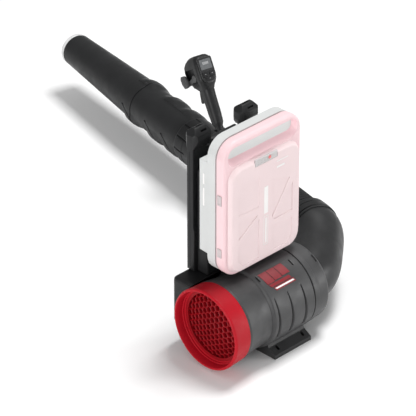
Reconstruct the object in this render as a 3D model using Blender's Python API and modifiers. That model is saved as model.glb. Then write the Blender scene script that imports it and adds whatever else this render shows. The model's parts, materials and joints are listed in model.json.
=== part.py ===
"""Backpack leaf blower: axial fan, elbow, hose and tube, carrying frame, battery and control handle.

Metres, +Z up. The origin is on the floor under the middle of the stand, +Y is the way the air
leaves (the wearer's forward), and +X runs along the fan from the red intake to the elbow.
"""

import bmesh
import bpy
from math import cos, pi, radians, sin, sqrt
from mathutils import Matrix, Vector

# ---------------------------------------------------------------- driving dimensions (metres)
GAP = 0.0003                      # clearance between touching solids
FAN_HEIGHT = 0.095                # fan axis above the floor
INTAKE_X = -0.175                 # front rim of the intake ring
RING_RADIUS = 0.090
RING_DEPTH = 0.044
INLET_END = 0.112                 # distances along the fan axis, from the front rim
HOUSING_RADIUS = 0.088
HOUSING_END = 0.232
COLLAR_END = 0.275
COLLAR_NECK = 0.290
DUCT_RADIUS = 0.072               # inside of the air duct
HOUSING_WALL = 0.008
GROOVES = (0.127, 0.167, 0.207)   # stations of the housing's tall grooves
GROOVE_WIDTH = 0.0055
BADGE_START, BADGE_END = 0.127, 0.199
CELL_PITCH, CELL_RADIUS = 0.0170, 0.0074
HUB_RADIUS, BLADE_TIP = 0.0285, 0.0700
HUB_START, HUB_END = 0.124, 0.154
CUP_START, CUP_END = 0.162, 0.206
MOTOR_RADIUS, MOTOR_START, MOTOR_END = 0.0290, 0.156, 0.212
MOTOR_SHAFT = 0.0040

ELBOW_RADIUS = 0.0605
ELBOW_START = 0.282               # along the fan axis
ELBOW_REACH = (0.416, 0.113)      # elbow mouth, from the front rim and from the fan axis
CUFF_LENGTH = 0.021
TUBE_RISE = 0.015                 # tube axis above the fan axis
TUBE_YAW = radians(11.9)          # the tube points this far outwards from +Y
HOSE_START, HOSE_END = 0.012, 0.262
HOSE_RADIUS, HOSE_CORRUGATION = 0.0535, 0.0045
HOSE_FOLDS = 6                    # in each third of the hose
HOSE_LIFT, HOSE_SWING = 0.0537, 0.2203
SLEEVE_START, SLEEVE_END = 0.289, 0.440    # stations along the tube axis, from the elbow mouth
SLEEVE_RADIUS = 0.053
SEAM = 0.626
OUTLET = 0.944
TUBE_RADIUS = 0.049
OUTLET_RADIUS = 0.0375
RING_LENGTH = 0.010
TUBE_WALL = 0.003

BATTERY_WIDTH, BATTERY_TOP, BATTERY_BOTTOM = 0.220, 0.502, 0.192
BATTERY_X = -0.016                # middle of the battery and of the frame
COVER_FRONT, COVER_BACK = -0.005, 0.020
PANEL_FRONT, PANEL_TOP = COVER_FRONT - 0.010, 0.446
BUTTON_PLACE = (0.0095, 0.4365)   # across from the battery's middle, and height
MID_BACK, REAR_BACK = 0.042, 0.064
REAR_BOTTOM, REAR_TOP = 0.227, 0.449
BATTERY_CORNER = 0.040

POST_WIDTH, POST_SPACING = 0.052, 0.133
POST_FRONT, POST_BACK = 0.100, 0.118
BASE_TOP, BASE_BOTTOM = 0.161, 0.050
BASE_LEFT, BASE_RIGHT = -0.150, 0.118
BASE_BACK = 0.119
SOLE_SPLIT = -0.014               # where the rear and front feet meet

HANDLE_STATION, HANDLE_LIFT = 0.327, 0.068
HANDLE_LEAN = radians(33)
HEAD_LOW, HEAD_LENGTH = 0.110, 0.072
HEAD_HALF_WIDTH = 0.0225
STALK_RADIUS = 0.0130
PIVOT_HOLE, PIVOT_BOLT = 0.0031, 0.0028
PIN_HOLE, PIN_RADIUS = 0.0018, 0.0015

ROUND_STEPS = 40
FINE_STEPS = 24

# ---------------------------------------------------------------- scene, collections, materials
for old in list(bpy.data.objects):
    bpy.data.objects.remove(old, do_unlink=True)

PARTS = bpy.data.collections.new("backpack_blower")
CUTTERS = bpy.data.collections.new("cutters")
for collection in (PARTS, CUTTERS):
    bpy.context.scene.collection.children.link(collection)


def finish_of(name, colour, roughness, metallic=0.0):
    """A Principled material with one colour."""
    material = bpy.data.materials.new(name)
    material.use_nodes = True
    shader = material.node_tree.nodes["Principled BSDF"]
    shader.inputs["Base Color"].default_value = (*colour, 1.0)
    shader.inputs["Roughness"].default_value = roughness
    shader.inputs["Metallic"].default_value = metallic
    return material


BLACK = finish_of("charcoal_plastic", (0.035, 0.036, 0.037), 0.55)
GREY = finish_of("housing_plastic", (0.075, 0.077, 0.078), 0.5)
RED = finish_of("red_plastic", (0.55, 0.01, 0.02), 0.4)
PINK = finish_of("cover_plastic", (0.83, 0.66, 0.67), 0.5)
PALE = finish_of("casing_plastic", (0.70, 0.71, 0.70), 0.5)
RUBBER = finish_of("soft_rubber", (0.02, 0.02, 0.021), 0.8)
STEEL = finish_of("bright_steel", (0.72, 0.72, 0.73), 0.3, 1.0)
GLASS = finish_of("display_window", (0.10, 0.11, 0.115), 0.15)

# ---------------------------------------------------------------- frames of reference
FAN_FRAME = Matrix.Translation((INTAKE_X, 0, FAN_HEIGHT)) @ Matrix.Rotation(radians(90), 4, "Y")

TUBE_WAY = Vector((sin(TUBE_YAW), cos(TUBE_YAW), 0))
TUBE_SIDE = Vector((cos(TUBE_YAW), -sin(TUBE_YAW), 0))
MOUTH = Vector((INTAKE_X + ELBOW_REACH[0], ELBOW_REACH[1], FAN_HEIGHT + TUBE_RISE))


def frame(origin, x_way, y_way, z_way):
    """A placement whose columns are three given directions."""
    turn = Matrix((x_way, y_way, z_way)).transposed().to_4x4()
    return Matrix.Translation(origin) @ turn


TUBE_FRAME = frame(MOUTH, TUBE_SIDE, Vector((0, 0, -1)), TUBE_WAY)

HANDLE_WAY = TUBE_WAY * sin(HANDLE_LEAN) + Vector((0, 0, cos(HANDLE_LEAN)))
HANDLE_ORIGIN = MOUTH + TUBE_WAY * HANDLE_STATION + Vector((0, 0, HANDLE_LIFT))
HANDLE_FRAME = frame(HANDLE_ORIGIN, TUBE_SIDE, HANDLE_WAY.cross(TUBE_SIDE), HANDLE_WAY)


# ---------------------------------------------------------------- modelling helpers
def add(name, mesh, material=None, matrix=None, cutter=False):
    """Wrap a mesh in an object, as a part or as a cutter."""
    thing = bpy.data.objects.new(name, mesh)
    (CUTTERS if cutter else PARTS).objects.link(thing)
    if material:
        mesh.materials.clear()
        mesh.materials.append(material)
    if cutter:
        thing.hide_render = True
        thing.display_type = "WIRE"
    thing.matrix_world = matrix or Matrix.Identity(4)
    return thing


def smooth(thing, angle=35):
    thing.data.shade_smooth()
    thing.data.set_sharp_from_angle(angle=radians(angle))
    return thing


def turned(name, outline, material=None, matrix=None, steps=ROUND_STEPS, cutter=False):
    """Turn an outline of (radius, height) points about local Z. A first radius of 0 is a solid."""
    solid = outline[0][0] == 0
    area = sum(a[0] * b[1] - b[0] * a[1] for a, b in zip(outline, outline[1:] + outline[:1]))
    points = list(reversed(outline)) if area > 0 else list(outline)
    mesh = bpy.data.meshes.new(name)
    pairs = [(i, i + 1) for i in range(len(points) - 1)]
    if not solid:
        pairs.append((len(points) - 1, 0))
    mesh.from_pydata([(r, 0, z) for r, z in points], pairs, [])
    thing = add(name, mesh, material, matrix, cutter)
    screw = thing.modifiers.new("turn", "SCREW")
    screw.axis = "Z"
    screw.angle = 2 * pi
    screw.steps = screw.render_steps = steps
    screw.use_merge_vertices = True
    screw.merge_threshold = 0.00001
    screw.use_smooth_shade = True
    return thing


def block(name, low, high, material=None, matrix=None, bevel=0.0, segments=2, cutter=False):
    """A box between two corners, with rounded edges."""
    mesh = bpy.data.meshes.new(name)
    shape = bmesh.new()
    bmesh.ops.create_cube(shape, size=1.0)
    size = Vector(high) - Vector(low)
    bmesh.ops.scale(shape, vec=size, verts=shape.verts)
    bmesh.ops.translate(shape, vec=(Vector(high) + Vector(low)) / 2, verts=shape.verts)
    shape.to_mesh(mesh)
    shape.free()
    thing = add(name, mesh, material, matrix, cutter)
    if bevel:
        rounding(thing, bevel, segments)
    return thing


def rounding(thing, width, segments=2, angle=40):
    bevel = thing.modifiers.new("round", "BEVEL")
    bevel.width = width
    bevel.segments = segments
    bevel.limit_method = "ANGLE"
    bevel.angle_limit = radians(angle)
    return bevel


def rod(name, radius, low, high, material=None, matrix=None, steps=24, cutter=False):
    """A plain cylinder along local Z."""
    mesh = bpy.data.meshes.new(name)
    shape = bmesh.new()
    bmesh.ops.create_cone(shape, cap_ends=True, segments=steps, radius1=radius, radius2=radius,
                          depth=high - low)
    bmesh.ops.translate(shape, vec=(0, 0, (high + low) / 2), verts=shape.verts)
    shape.to_mesh(mesh)
    shape.free()
    return add(name, mesh, material, matrix, cutter)


def as_mesh(curve_object, name):
    """The mesh of a curve object, with its caps welded; the curve itself goes."""
    bpy.context.view_layer.update()
    graph = bpy.context.evaluated_depsgraph_get()
    mesh = bpy.data.meshes.new_from_object(curve_object.evaluated_get(graph))
    mesh.name = name
    shape = bmesh.new()
    shape.from_mesh(mesh)
    bmesh.ops.remove_doubles(shape, verts=shape.verts, dist=0.00001)
    shape.to_mesh(mesh)
    shape.free()
    bpy.data.objects.remove(curve_object, do_unlink=True)
    return mesh


def plate(name, outline, low, high, material=None, matrix=None, cutter=False):
    """A flat outline in local XY, filled and extruded between two heights."""
    curve = bpy.data.curves.new(name, "CURVE")
    curve.dimensions = "2D"
    curve.fill_mode = "BOTH"
    curve.extrude = (high - low) / 2
    spline = curve.splines.new("POLY")
    spline.points.add(len(outline) - 1)
    for point, (x, y) in zip(spline.points, outline):
        point.co = (x, y, 0, 1)
    spline.use_cyclic_u = True
    holder = bpy.data.objects.new(name, curve)
    PARTS.objects.link(holder)
    mesh = as_mesh(holder, name)
    mesh.transform(Matrix.Translation((0, 0, (high + low) / 2)))
    return add(name, mesh, material, matrix, cutter)


def combine(thing, other, operation="DIFFERENCE"):
    """Cut, join or intersect with another object, which becomes a hidden cutter."""
    modifier = thing.modifiers.new(operation.lower(), "BOOLEAN")
    modifier.operation = operation
    modifier.object = other
    modifier.solver = "EXACT"
    return thing


def rounded(width, height, radius, steps=6, centre=(0, 0)):
    """Outline of a rectangle with round corners."""
    points = []
    for quarter, (sx, sy) in enumerate(((1, 1), (-1, 1), (-1, -1), (1, -1))):
        for i in range(steps + 1):
            angle = pi / 2 * (quarter + i / steps)
            points.append((centre[0] + sx * (width / 2 - radius) + radius * cos(angle),
                           centre[1] + sy * (height / 2 - radius) + radius * sin(angle)))
    return points


# Side views: local X is world X and local Y is world Z, so local Z faces -Y
def facing(depth):
    """Placement of a front view whose local height 0 is at world Y = depth."""
    return Matrix.Translation((0, depth, 0)) @ Matrix.Rotation(radians(90), 4, "X")


# End view: local X is world Y, local Y is world Z, local Z is world X
END_VIEW = frame((0, 0, 0), Vector((0, 1, 0)), Vector((0, 0, 1)), Vector((1, 0, 0)))


# ---------------------------------------------------------------- intake
def intake_ring():
    lip = [(0.0855 + 0.0022 * (1 - cos(a)), 0.0022 * (1 - sin(a))) for a in
           (radians(x) for x in (0, 45, 90, 135, 180))]
    outline = lip + [(0.0885, RING_DEPTH), (0.0785, RING_DEPTH), (0.0785, 0.027), (0.0815, 0.0245)]
    return turned("intake_ring", outline, RED, FAN_FRAME)


def intake_guard():
    """A domed grille of six-sided cells, set back in the ring."""
    edge, crown, thickness = 0.0780, 0.006, 0.0055
    arc = [(edge * i / 3, 0.0275 - crown * cos(pi / 2 * i / 3)) for i in range(4)]
    outline = arc + [(r, z + thickness) for r, z in reversed(arc)]
    guard = turned("intake_guard", outline, RED, FAN_FRAME, steps=18)
    drills = bmesh.new()
    row_step = CELL_PITCH * sqrt(3) / 2
    rows = int(edge / row_step) + 1
    for row in range(-rows, rows + 1):
        for column in range(-6, 7):
            x = (column + 0.5 * (row % 2)) * CELL_PITCH
            y = row * row_step
            if sqrt(x * x + y * y) > edge - 0.0095:
                continue
            place = Matrix.Translation((x, y, 0.028)) @ Matrix.Rotation(radians(30), 4, "Z")
            bmesh.ops.create_cone(drills, cap_ends=True, segments=6, radius1=CELL_RADIUS,
                                  radius2=CELL_RADIUS, depth=0.05, matrix=place)
    mesh = bpy.data.meshes.new("guard_cells")
    drills.to_mesh(mesh)
    drills.free()
    return combine(guard, add("guard_cells", mesh, None, FAN_FRAME, cutter=True))


def inlet_duct():
    start = RING_DEPTH + GAP
    outline = [(0.0865, start), (0.0872, start + 0.004), (0.0805, INLET_END - 0.012),
               (0.0800, INLET_END), (DUCT_RADIUS, INLET_END), (0.0785, start)]
    return turned("inlet_duct", outline, GREY, FAN_FRAME)


# ---------------------------------------------------------------- fan housing and its inside
def fan_housing():
    """The banded main body, with three tall grooves on the rear side and two lifting slots."""
    inner = HOUSING_RADIUS - HOUSING_WALL
    outline = [(0.0808, INLET_END + GAP), (HOUSING_RADIUS, INLET_END + 0.006),
               (HOUSING_RADIUS, HOUSING_END), (0.0755, HOUSING_END), (0.0755, HOUSING_END - 0.004),
               (inner, HOUSING_END - 0.004), (inner, INLET_END + 0.009),
               (0.0755, INLET_END + 0.009), (0.0755, INLET_END + GAP)]
    housing = turned("fan_housing", outline, GREY, FAN_FRAME)
    groove_floor = HOUSING_RADIUS - 0.0035
    for station in GROOVES:
        end = station + GROOVE_WIDTH
        ring = turned("groove_ring", [(groove_floor, station), (0.1, station), (0.1, end),
                                      (groove_floor, end)], None, FAN_FRAME, cutter=True)
        keep = block("groove_reach", (-0.2, -0.12, 0.052), (0.2, -0.058, FAN_HEIGHT + 0.053),
                     cutter=True)
        combine(ring, keep, "INTERSECT")
        combine(housing, ring)
    for station in (0.1205, 0.2125):
        tilt = Matrix.Rotation(radians(18), 4, "X")
        place = Matrix.Translation((INTAKE_X + station, 0, FAN_HEIGHT)) @ tilt
        slot = block("lifting_slot", (-0.0022, -0.010, HOUSING_RADIUS - 0.006),
                     (0.0022, 0.004, HOUSING_RADIUS + 0.01), None, place, cutter=True)
        combine(housing, slot)
    return housing


def air_duct():
    start, end = INLET_END + 0.010, HOUSING_END - 0.005
    outline = [(0.0752, start), (0.0752, end), (DUCT_RADIUS, end), (DUCT_RADIUS, start)]
    return turned("air_duct", outline, GREY, FAN_FRAME, steps=40)


def badge_plate():
    """A blank curved plate on the housing's rear shoulder."""
    radius = HOUSING_RADIUS + GAP
    outer = radius + 0.0012
    plate_ring = turned("badge_plate", [(radius, BADGE_START), (outer, BADGE_START),
                                        (outer, BADGE_END), (radius, BADGE_END)], RED, FAN_FRAME,
                        steps=96)
    lean = Matrix.Rotation(radians(31.5), 4, "X")
    place = Matrix.Translation((0, 0, FAN_HEIGHT)) @ lean
    reach = block("badge_reach", (-0.2, -0.0235, 0.06), (0.2, 0.0235, 0.12), None, place, cutter=True)
    return combine(plate_ring, reach, "INTERSECT")


def blades(name, count, root, tip, station, chord, pitch_root, pitch_tip, thickness):
    """A ring of thin twisted blades in one cutter collection, ready to be joined to a hub."""
    group = bpy.data.collections.new(name)
    CUTTERS.children.link(group)
    for index in range(count):
        shape = bmesh.new()
        across, along = 3, 3
        rows = []
        for j in range(along + 1):
            share = j / along
            radius = root + (tip - root) * share
            pitch = pitch_root + (pitch_tip - pitch_root) * share
            row = []
            for i in range(across + 1):
                offset = chord * (i / across - 0.5)
                camber = 0.12 * chord * (1 - (2 * i / across - 1) ** 2)
                side = offset * sin(pitch) + camber * cos(pitch)
                row.append(shape.verts.new((radius, side, station + offset * cos(pitch)
                                            - camber * sin(pitch))))
            rows.append(row)
        for low, high in zip(rows, rows[1:]):
            for i in range(across):
                shape.faces.new((low[i], low[i + 1], high[i + 1], high[i]))
        mesh = bpy.data.meshes.new(name)
        shape.to_mesh(mesh)
        shape.free()
        turn = Matrix.Rotation(2 * pi * index / count, 4, "Z")
        thing = bpy.data.objects.new(name, mesh)
        group.objects.link(thing)
        thing.hide_render = True
        thing.display_type = "WIRE"
        thing.matrix_world = FAN_FRAME @ turn
        shell = thing.modifiers.new("thickness", "SOLIDIFY")
        shell.thickness = thickness
        shell.offset = 0
    return group


def union_with(thing, group):
    modifier = thing.modifiers.new("blades", "BOOLEAN")
    modifier.operation = "UNION"
    modifier.operand_type = "COLLECTION"
    modifier.collection = group
    modifier.solver = "EXACT"
    return thing


def impeller():
    shaft_end = HUB_END + 0.018
    outline = [(0, HUB_START), (HUB_RADIUS - 0.001, HUB_START), (HUB_RADIUS, HUB_START + 0.004),
               (HUB_RADIUS, HUB_END), (MOTOR_SHAFT, HUB_END), (MOTOR_SHAFT, shaft_end), (0, shaft_end)]
    hub = turned("impeller", outline, BLACK, FAN_FRAME, steps=FINE_STEPS)
    middle = (HUB_START + HUB_END) / 2
    fan = blades("impeller_blades", 9, HUB_RADIUS - 0.002, BLADE_TIP, middle, 0.027, radians(38),
                 radians(62), 0.0022)
    return union_with(hub, fan)


def nose_cone():
    radius, back, length = HUB_RADIUS - 0.001, HUB_START - GAP, 0.030
    arc = [(radius * sin(pi / 2 * i / 5), back - length * cos(pi / 2 * i / 5)) for i in range(6)]
    return turned("nose_cone", arc + [(0, back)], BLACK, FAN_FRAME, steps=FINE_STEPS)


def motor_mount():
    """Guide vanes that carry the motor's cup inside an outer band."""
    inner, outer = MOTOR_RADIUS + 0.0005, MOTOR_RADIUS + 0.0035
    cup = turned("motor_mount", [(outer, CUP_START), (outer, CUP_END), (inner, CUP_END),
                                 (inner, CUP_START)], BLACK, FAN_FRAME, steps=FINE_STEPS)
    band_outer, band_inner = DUCT_RADIUS - GAP, DUCT_RADIUS - 0.0028
    band_start, band_end = CUP_START + 0.004, CUP_END - 0.006
    band = turned("vane_band", [(band_outer, band_start), (band_outer, band_end),
                                (band_inner, band_end), (band_inner, band_start)], None, FAN_FRAME,
                  cutter=True)
    vanes = blades("guide_vanes", 7, outer - 0.0013, band_inner + 0.0013, 0.183, 0.026, radians(-14),
                   radians(-10), 0.0024)
    vanes.objects.link(band)
    return union_with(cup, vanes)


def motor():
    bore, bore_end = MOTOR_SHAFT + GAP, MOTOR_START + 0.018
    outline = [(0, bore_end), (bore, bore_end), (bore, MOTOR_START), (MOTOR_RADIUS, MOTOR_START),
               (MOTOR_RADIUS, MOTOR_END), (0, MOTOR_END)]
    return turned("motor", outline, STEEL, FAN_FRAME, steps=FINE_STEPS)


def tail_cone():
    start, length = MOTOR_END + GAP, 0.045
    arc = [(MOTOR_RADIUS * cos(pi / 2 * i / 5), start + length * sin(pi / 2 * i / 5))
           for i in range(5)]
    return turned("tail_cone", [(0, start)] + arc + [(0, start + length)], BLACK, FAN_FRAME,
                  steps=FINE_STEPS)


# ---------------------------------------------------------------- stand and lower frame
def fan_clearance(name, extra=0.0004):
    low, high = INLET_END + GAP - 0.002, 0.4
    return rod(name, HOUSING_RADIUS + extra, low, high, None, FAN_FRAME, steps=96, cutter=True)


def stand_rear():
    """Rear foot: a bolted sole with a sloped web up to the housing."""
    outline = [(-0.077, 0), (-0.077, 0.009), (-0.058, 0.020), (-0.048, 0.050), (SOLE_SPLIT, 0.050),
               (SOLE_SPLIT, 0)]
    foot = plate("stand_rear", outline, -0.049, 0.057, BLACK, END_VIEW)
    combine(foot, fan_clearance("stand_rear_seat"))
    for x in (-0.030, 0.043):
        combine(foot, block("bolt_slot", (x - 0.003, -0.070, -0.01), (x + 0.003, -0.059, 0.05), None,
                            None, 0.0025, 2, cutter=True))
    return foot


def stand_front():
    """Front foot: a sole under the fan, and a block that carries the frame's base."""
    start, top = SOLE_SPLIT + GAP, BASE_BOTTOM - GAP
    outline = [(start, 0), (0.150, 0), (0.150, 0.008), (0.122, 0.030), (BASE_BACK, top), (start, top)]
    foot = plate("stand_front", outline, -0.060, 0.105, BLACK, END_VIEW)
    combine(foot, fan_clearance("stand_front_seat"))
    for x in (-0.045, 0.090):
        combine(foot, block("bolt_slot", (x - 0.003, 0.134, -0.01), (x + 0.003, 0.145, 0.05), None,
                            None, 0.0025, 2, cutter=True))
    return foot


def frame_base():
    """Hollow lower box of the frame, open on the fan's side, where the controller sits."""
    base = block("frame_base", (BASE_LEFT, 0.050, BASE_BOTTOM), (BASE_RIGHT, BASE_BACK, BASE_TOP),
                 BLACK, None, 0.009, 3)
    seat = rod("base_seat", RING_RADIUS + 0.0012, -0.01, 0.5, None, FAN_FRAME, steps=96, cutter=True)
    combine(base, seat)
    pocket = block("base_pocket", (-0.070, 0.03, 0.115), (0.038, 0.112, 0.152), cutter=True)
    return combine(base, pocket)


def controller():
    return block("controller", (-0.066, 0.0945, 0.1165), (0.034, 0.1105, 0.1505), STEEL)


# ---------------------------------------------------------------- carrying frame
def frame_post(name, side):
    """One upright with a strap head: a side outline pulled across, with two webbing slots."""
    middle = BATTERY_X + side * POST_SPACING / 2
    start = BASE_TOP + GAP
    outline = [(POST_FRONT - 0.003, start), (0.118, start), (POST_BACK, 0.452), (0.123, 0.459),
               (0.127, 0.470), (0.125, 0.486), (0.116, 0.496), (0.102, 0.500), (0.092, 0.496),
               (0.091, 0.486), (POST_FRONT - 0.003, 0.464), (POST_FRONT, 0.452), (POST_FRONT, 0.262),
               (POST_FRONT - 0.003, 0.256)]
    post = plate(name, outline, middle - POST_WIDTH / 2, middle + POST_WIDTH / 2, BLACK, END_VIEW)
    rounding(post, 0.0035, 2, 50)
    for x, y, z in ((-0.003, 0.1095, 0.478), (0.006, 0.0985, 0.478)):
        low = (middle + x - 0.0085, y - 0.0026, z)
        high = (middle + x + 0.0085, y + 0.0026, z + 0.05)
        combine(post, block("webbing_slot", low, high, cutter=True))
    return post


def frame_crossbar():
    reach = POST_SPACING / 2 - POST_WIDTH / 2 - GAP
    return block("frame_crossbar", (BATTERY_X - reach, 0.1015, 0.436),
                 (BATTERY_X + reach, 0.1155, 0.461), BLACK, None, 0.003)


def battery_dock():
    """Upright dock plate behind the battery, with a shelf under it and a guide at each side."""
    half = 0.084
    dock = block("battery_dock", (BATTERY_X - half, REAR_BACK + 0.003, BASE_TOP + GAP),
                 (BATTERY_X + half, POST_FRONT - 0.003 - GAP, 0.400), BLACK, None, 0.002, 1)
    hollow = block("dock_hollow", (BATTERY_X - half + 0.012, REAR_BACK + 0.009, 0.200),
                   (BATTERY_X + half - 0.012, 0.12, 0.386), cutter=True)
    combine(dock, hollow)
    window = block("dock_window", (BATTERY_X - 0.032, 0.05, 0.3405), (BATTERY_X + 0.032, 0.09, 0.3655),
                   cutter=True)
    return combine(dock, window)


def dock_connector():
    """Terminal block on the dock: its tongue stands in the battery's lower slot."""
    low = REAR_BOTTOM - GAP
    body = block("dock_connector", (BATTERY_X - 0.040, 0.0445, 0.195),
                 (BATTERY_X + 0.040, REAR_BACK + 0.003 - GAP, low), BLACK)
    tongue = block("connector_tongue", (BATTERY_X - 0.030, 0.0505, low - 0.005),
                   (BATTERY_X + 0.030, 0.0575, low + 0.012), cutter=True)
    return combine(body, tongue, "UNION")


def dock_latch():
    """Release lever that shows above the dock and hooks the battery's back."""
    return block("dock_latch", (BATTERY_X - 0.0315, 0.0675, 0.341), (BATTERY_X + 0.0315, 0.0725, 0.365),
                 RED, None, 0.001, 1)


# ---------------------------------------------------------------- battery
def battery_outline(inset=0.0):
    middle = (BATTERY_X, (BATTERY_TOP + BATTERY_BOTTOM) / 2)
    return rounded(BATTERY_WIDTH - 2 * inset, BATTERY_TOP - BATTERY_BOTTOM - 2 * inset,
                   BATTERY_CORNER - inset, 6, middle)


def battery_cover():
    """Front cover: a finger slot under a round grip, a raised panel and shallow braced pockets."""
    cover = plate("battery_cover", battery_outline(), -COVER_BACK, -COVER_FRONT, PINK, facing(0))
    rounding(cover, 0.006, 3, 60)
    panel_low = BATTERY_BOTTOM + 0.004
    height = PANEL_TOP - panel_low
    panel = plate("raised_panel", rounded(0.200, height, 0.030, 6,
                                          (BATTERY_X, panel_low + height / 2)),
                  0, -PANEL_FRONT, None, facing(0), cutter=True)
    rounding(panel, 0.007, 1, 60)
    combine(cover, panel, "UNION")
    slot = plate("finger_slot", rounded(0.188, 0.034, 0.015, 4, (BATTERY_X, 0.468)),
                 -(COVER_BACK - 0.0035), 0.05, None, facing(0), cutter=True)
    combine(cover, slot)
    indicator = block("indicator_seat", (BATTERY_X - 0.0325, -0.05, 0.4285),
                      (BATTERY_X + 0.0325, PANEL_FRONT + 0.004, 0.4475 - 0.003), cutter=True)
    combine(cover, indicator)
    for number, outline in enumerate(brace_pockets()):
        pocket = plate(f"brace_pocket_{number}", outline, -PANEL_FRONT - 0.0018, 0.05, None,
                       facing(0), cutter=True)
        combine(cover, pocket)
    return cover


def brace_pockets():
    """Pocket outlines on the raised panel: two columns, each crossed by a slanted brace."""
    low, high, middle = 0.212, 0.402, BATTERY_X
    inner, outer = 0.018, 0.078
    left, right = middle - outer, middle - inner
    yield [(left, 0.333), (right, 0.330), (right, high), (left + 0.014, high - 0.004), (left, high - 0.02)]
    yield [(left, 0.322), (left, 0.276), (right - 0.004, 0.314)]
    yield [(left, low + 0.015), (left + 0.012, low), (right, low), (right, 0.305), (left, 0.264)]
    left, right = middle + inner, middle + outer
    yield [(left, high - 0.020), (left, 0.290), (right - 0.008, 0.366)]
    yield [(left + 0.004, 0.284), (right, 0.284), (right, 0.352)]
    yield [(left, low), (right - 0.012, low), (right, low + 0.015), (right, 0.270), (left, 0.273)]


def battery_mid_shell():
    shell = plate("battery_mid_shell", battery_outline(0.0006), -MID_BACK, -(COVER_BACK + GAP), PALE,
                  facing(0))
    window = block("mid_window", (BATTERY_X - 0.098, 0, 0.236), (BATTERY_X + 0.098, 0.1, 0.440),
                   cutter=True)
    return combine(shell, window)


def battery_rear_shell():
    half = BATTERY_WIDTH / 2 - 0.001
    cut = 0.012
    outline = [(BATTERY_X - half, REAR_BOTTOM + cut), (BATTERY_X - half + cut, REAR_BOTTOM),
               (BATTERY_X + half - cut, REAR_BOTTOM), (BATTERY_X + half, REAR_BOTTOM + cut),
               (BATTERY_X + half, REAR_TOP), (BATTERY_X - half, REAR_TOP)]
    shell = plate("battery_rear_shell", outline, -REAR_BACK, -(MID_BACK + GAP), PALE, facing(0))
    hollow = block("rear_hollow", (BATTERY_X - 0.100, 0, 0.243), (BATTERY_X + 0.100, 0.060, 0.442),
                   cutter=True)
    combine(shell, hollow)
    slot = block("tongue_slot", (BATTERY_X - 0.032, 0.0485, 0.2), (BATTERY_X + 0.032, 0.0595, 0.241),
                 cutter=True)
    return combine(shell, slot)


def cell_pack():
    return block("cell_pack", (BATTERY_X - 0.097, COVER_BACK + 0.001, 0.2445),
                 (BATTERY_X + 0.097, 0.0585, 0.4385), GREY)


def indicator_panel():
    panel = block("indicator_panel", (BATTERY_X - 0.0315, PANEL_FRONT, 0.4290),
                  (BATTERY_X + 0.0315, PANEL_FRONT + 0.0036, 0.4440), PALE)
    hole = rod("button_hole", 0.0038, -0.01, 0.03, None,
               facing(PANEL_FRONT) @ Matrix.Translation((BATTERY_X + BUTTON_PLACE[0],
                                                         BUTTON_PLACE[1], -0.006)), 24, cutter=True)
    return combine(panel, hole)


def indicator_button():
    place = Matrix.Translation((BATTERY_X + BUTTON_PLACE[0], PANEL_FRONT, BUTTON_PLACE[1]))
    place = place @ Matrix.Rotation(radians(90), 4, "X")
    return rod("indicator_button", 0.0034, -0.0022, 0.0010, RED, place, 20)


def battery_clip(name, side, low, high):
    """A small clip plate on the side of the cover, where the shells are screwed together."""
    wall = BATTERY_X + side * (BATTERY_WIDTH / 2 + GAP)
    reach = wall + side * 0.0014
    return block(name, (min(wall, reach), 0.001, low), (max(wall, reach), 0.0125, high), PALE)


# ---------------------------------------------------------------- elbow, hose and tube
def clamp_collar():
    outline = [(0.0872, HOUSING_END + GAP), (0.0872, HOUSING_END + 0.006), (0.0860, COLLAR_END),
               (0.0665, COLLAR_NECK), (0.0630, COLLAR_NECK), (0.0630, COLLAR_END - 0.004),
               (DUCT_RADIUS, HOUSING_END + 0.012), (DUCT_RADIUS, HOUSING_END + GAP)]
    collar = turned("clamp_collar", outline, GREY, FAN_FRAME)
    place = Matrix.Translation((INTAKE_X + 0.283, 0, FAN_HEIGHT)) @ Matrix.Rotation(radians(28), 4, "X")
    latch_slot = block("collar_slot", (-0.012, -0.008, 0.074), (0.004, 0.005, 0.1), None, place,
                       cutter=True)
    return combine(collar, latch_slot)


def elbow():
    """A swept bend from the collar to the tube's direction, hollow right through."""
    curve = bpy.data.curves.new("elbow", "CURVE")
    curve.dimensions = "3D"
    curve.bevel_depth = ELBOW_RADIUS
    curve.bevel_resolution = 5
    curve.resolution_u = 9
    curve.use_fill_caps = False
    collar_end = Vector((INTAKE_X + COLLAR_NECK, 0, FAN_HEIGHT))
    cuff_end = MOUTH - TUBE_WAY * CUFF_LENGTH
    run_in = Vector((INTAKE_X + ELBOW_START, 0, FAN_HEIGHT))
    reach, stub = 0.045, 0.002
    spline = curve.splines.new("BEZIER")
    spline.bezier_points.add(3)
    route = ((run_in, Vector((1, 0, 0)), stub, stub), (collar_end, Vector((1, 0, 0)), stub, reach),
             (cuff_end, TUBE_WAY, reach, stub), (MOUTH, TUBE_WAY, stub, stub))
    for point, (place, way, before, after) in zip(spline.bezier_points, route):
        point.co = place
        point.handle_left = place - way * before
        point.handle_right = place + way * after
    holder = bpy.data.objects.new("elbow", curve)
    PARTS.objects.link(holder)
    bend = add("elbow", as_mesh(holder, "elbow"), BLACK)
    shell = bend.modifiers.new("wall", "SOLIDIFY")
    shell.thickness = TUBE_WALL
    shell.offset = -1
    shell.use_even_offset = True
    return smooth(bend)


def elbow_cuff():
    """Ring on the elbow's mouth, with two raised beads and a small latch tab outside."""
    low = ELBOW_RADIUS + 0.0008
    outline = [(low, -0.020), (0.0635, -0.020), (0.0645, -0.018), (0.0645, -0.013), (0.0628, -0.011),
               (0.0628, -0.004), (0.0648, -0.002), (0.0648, 0.006), (0.0630, 0.008), (0.0580, 0.008),
               (0.0580, 0.001), (low, 0.001)]
    cuff = turned("elbow_cuff", outline, BLACK, TUBE_FRAME)
    tab = block("latch_tab", (0.0625, -0.006, -0.012), (0.0690, 0.006, 0.001), None, TUBE_FRAME,
                cutter=True)
    return combine(cuff, tab, "UNION")


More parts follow.
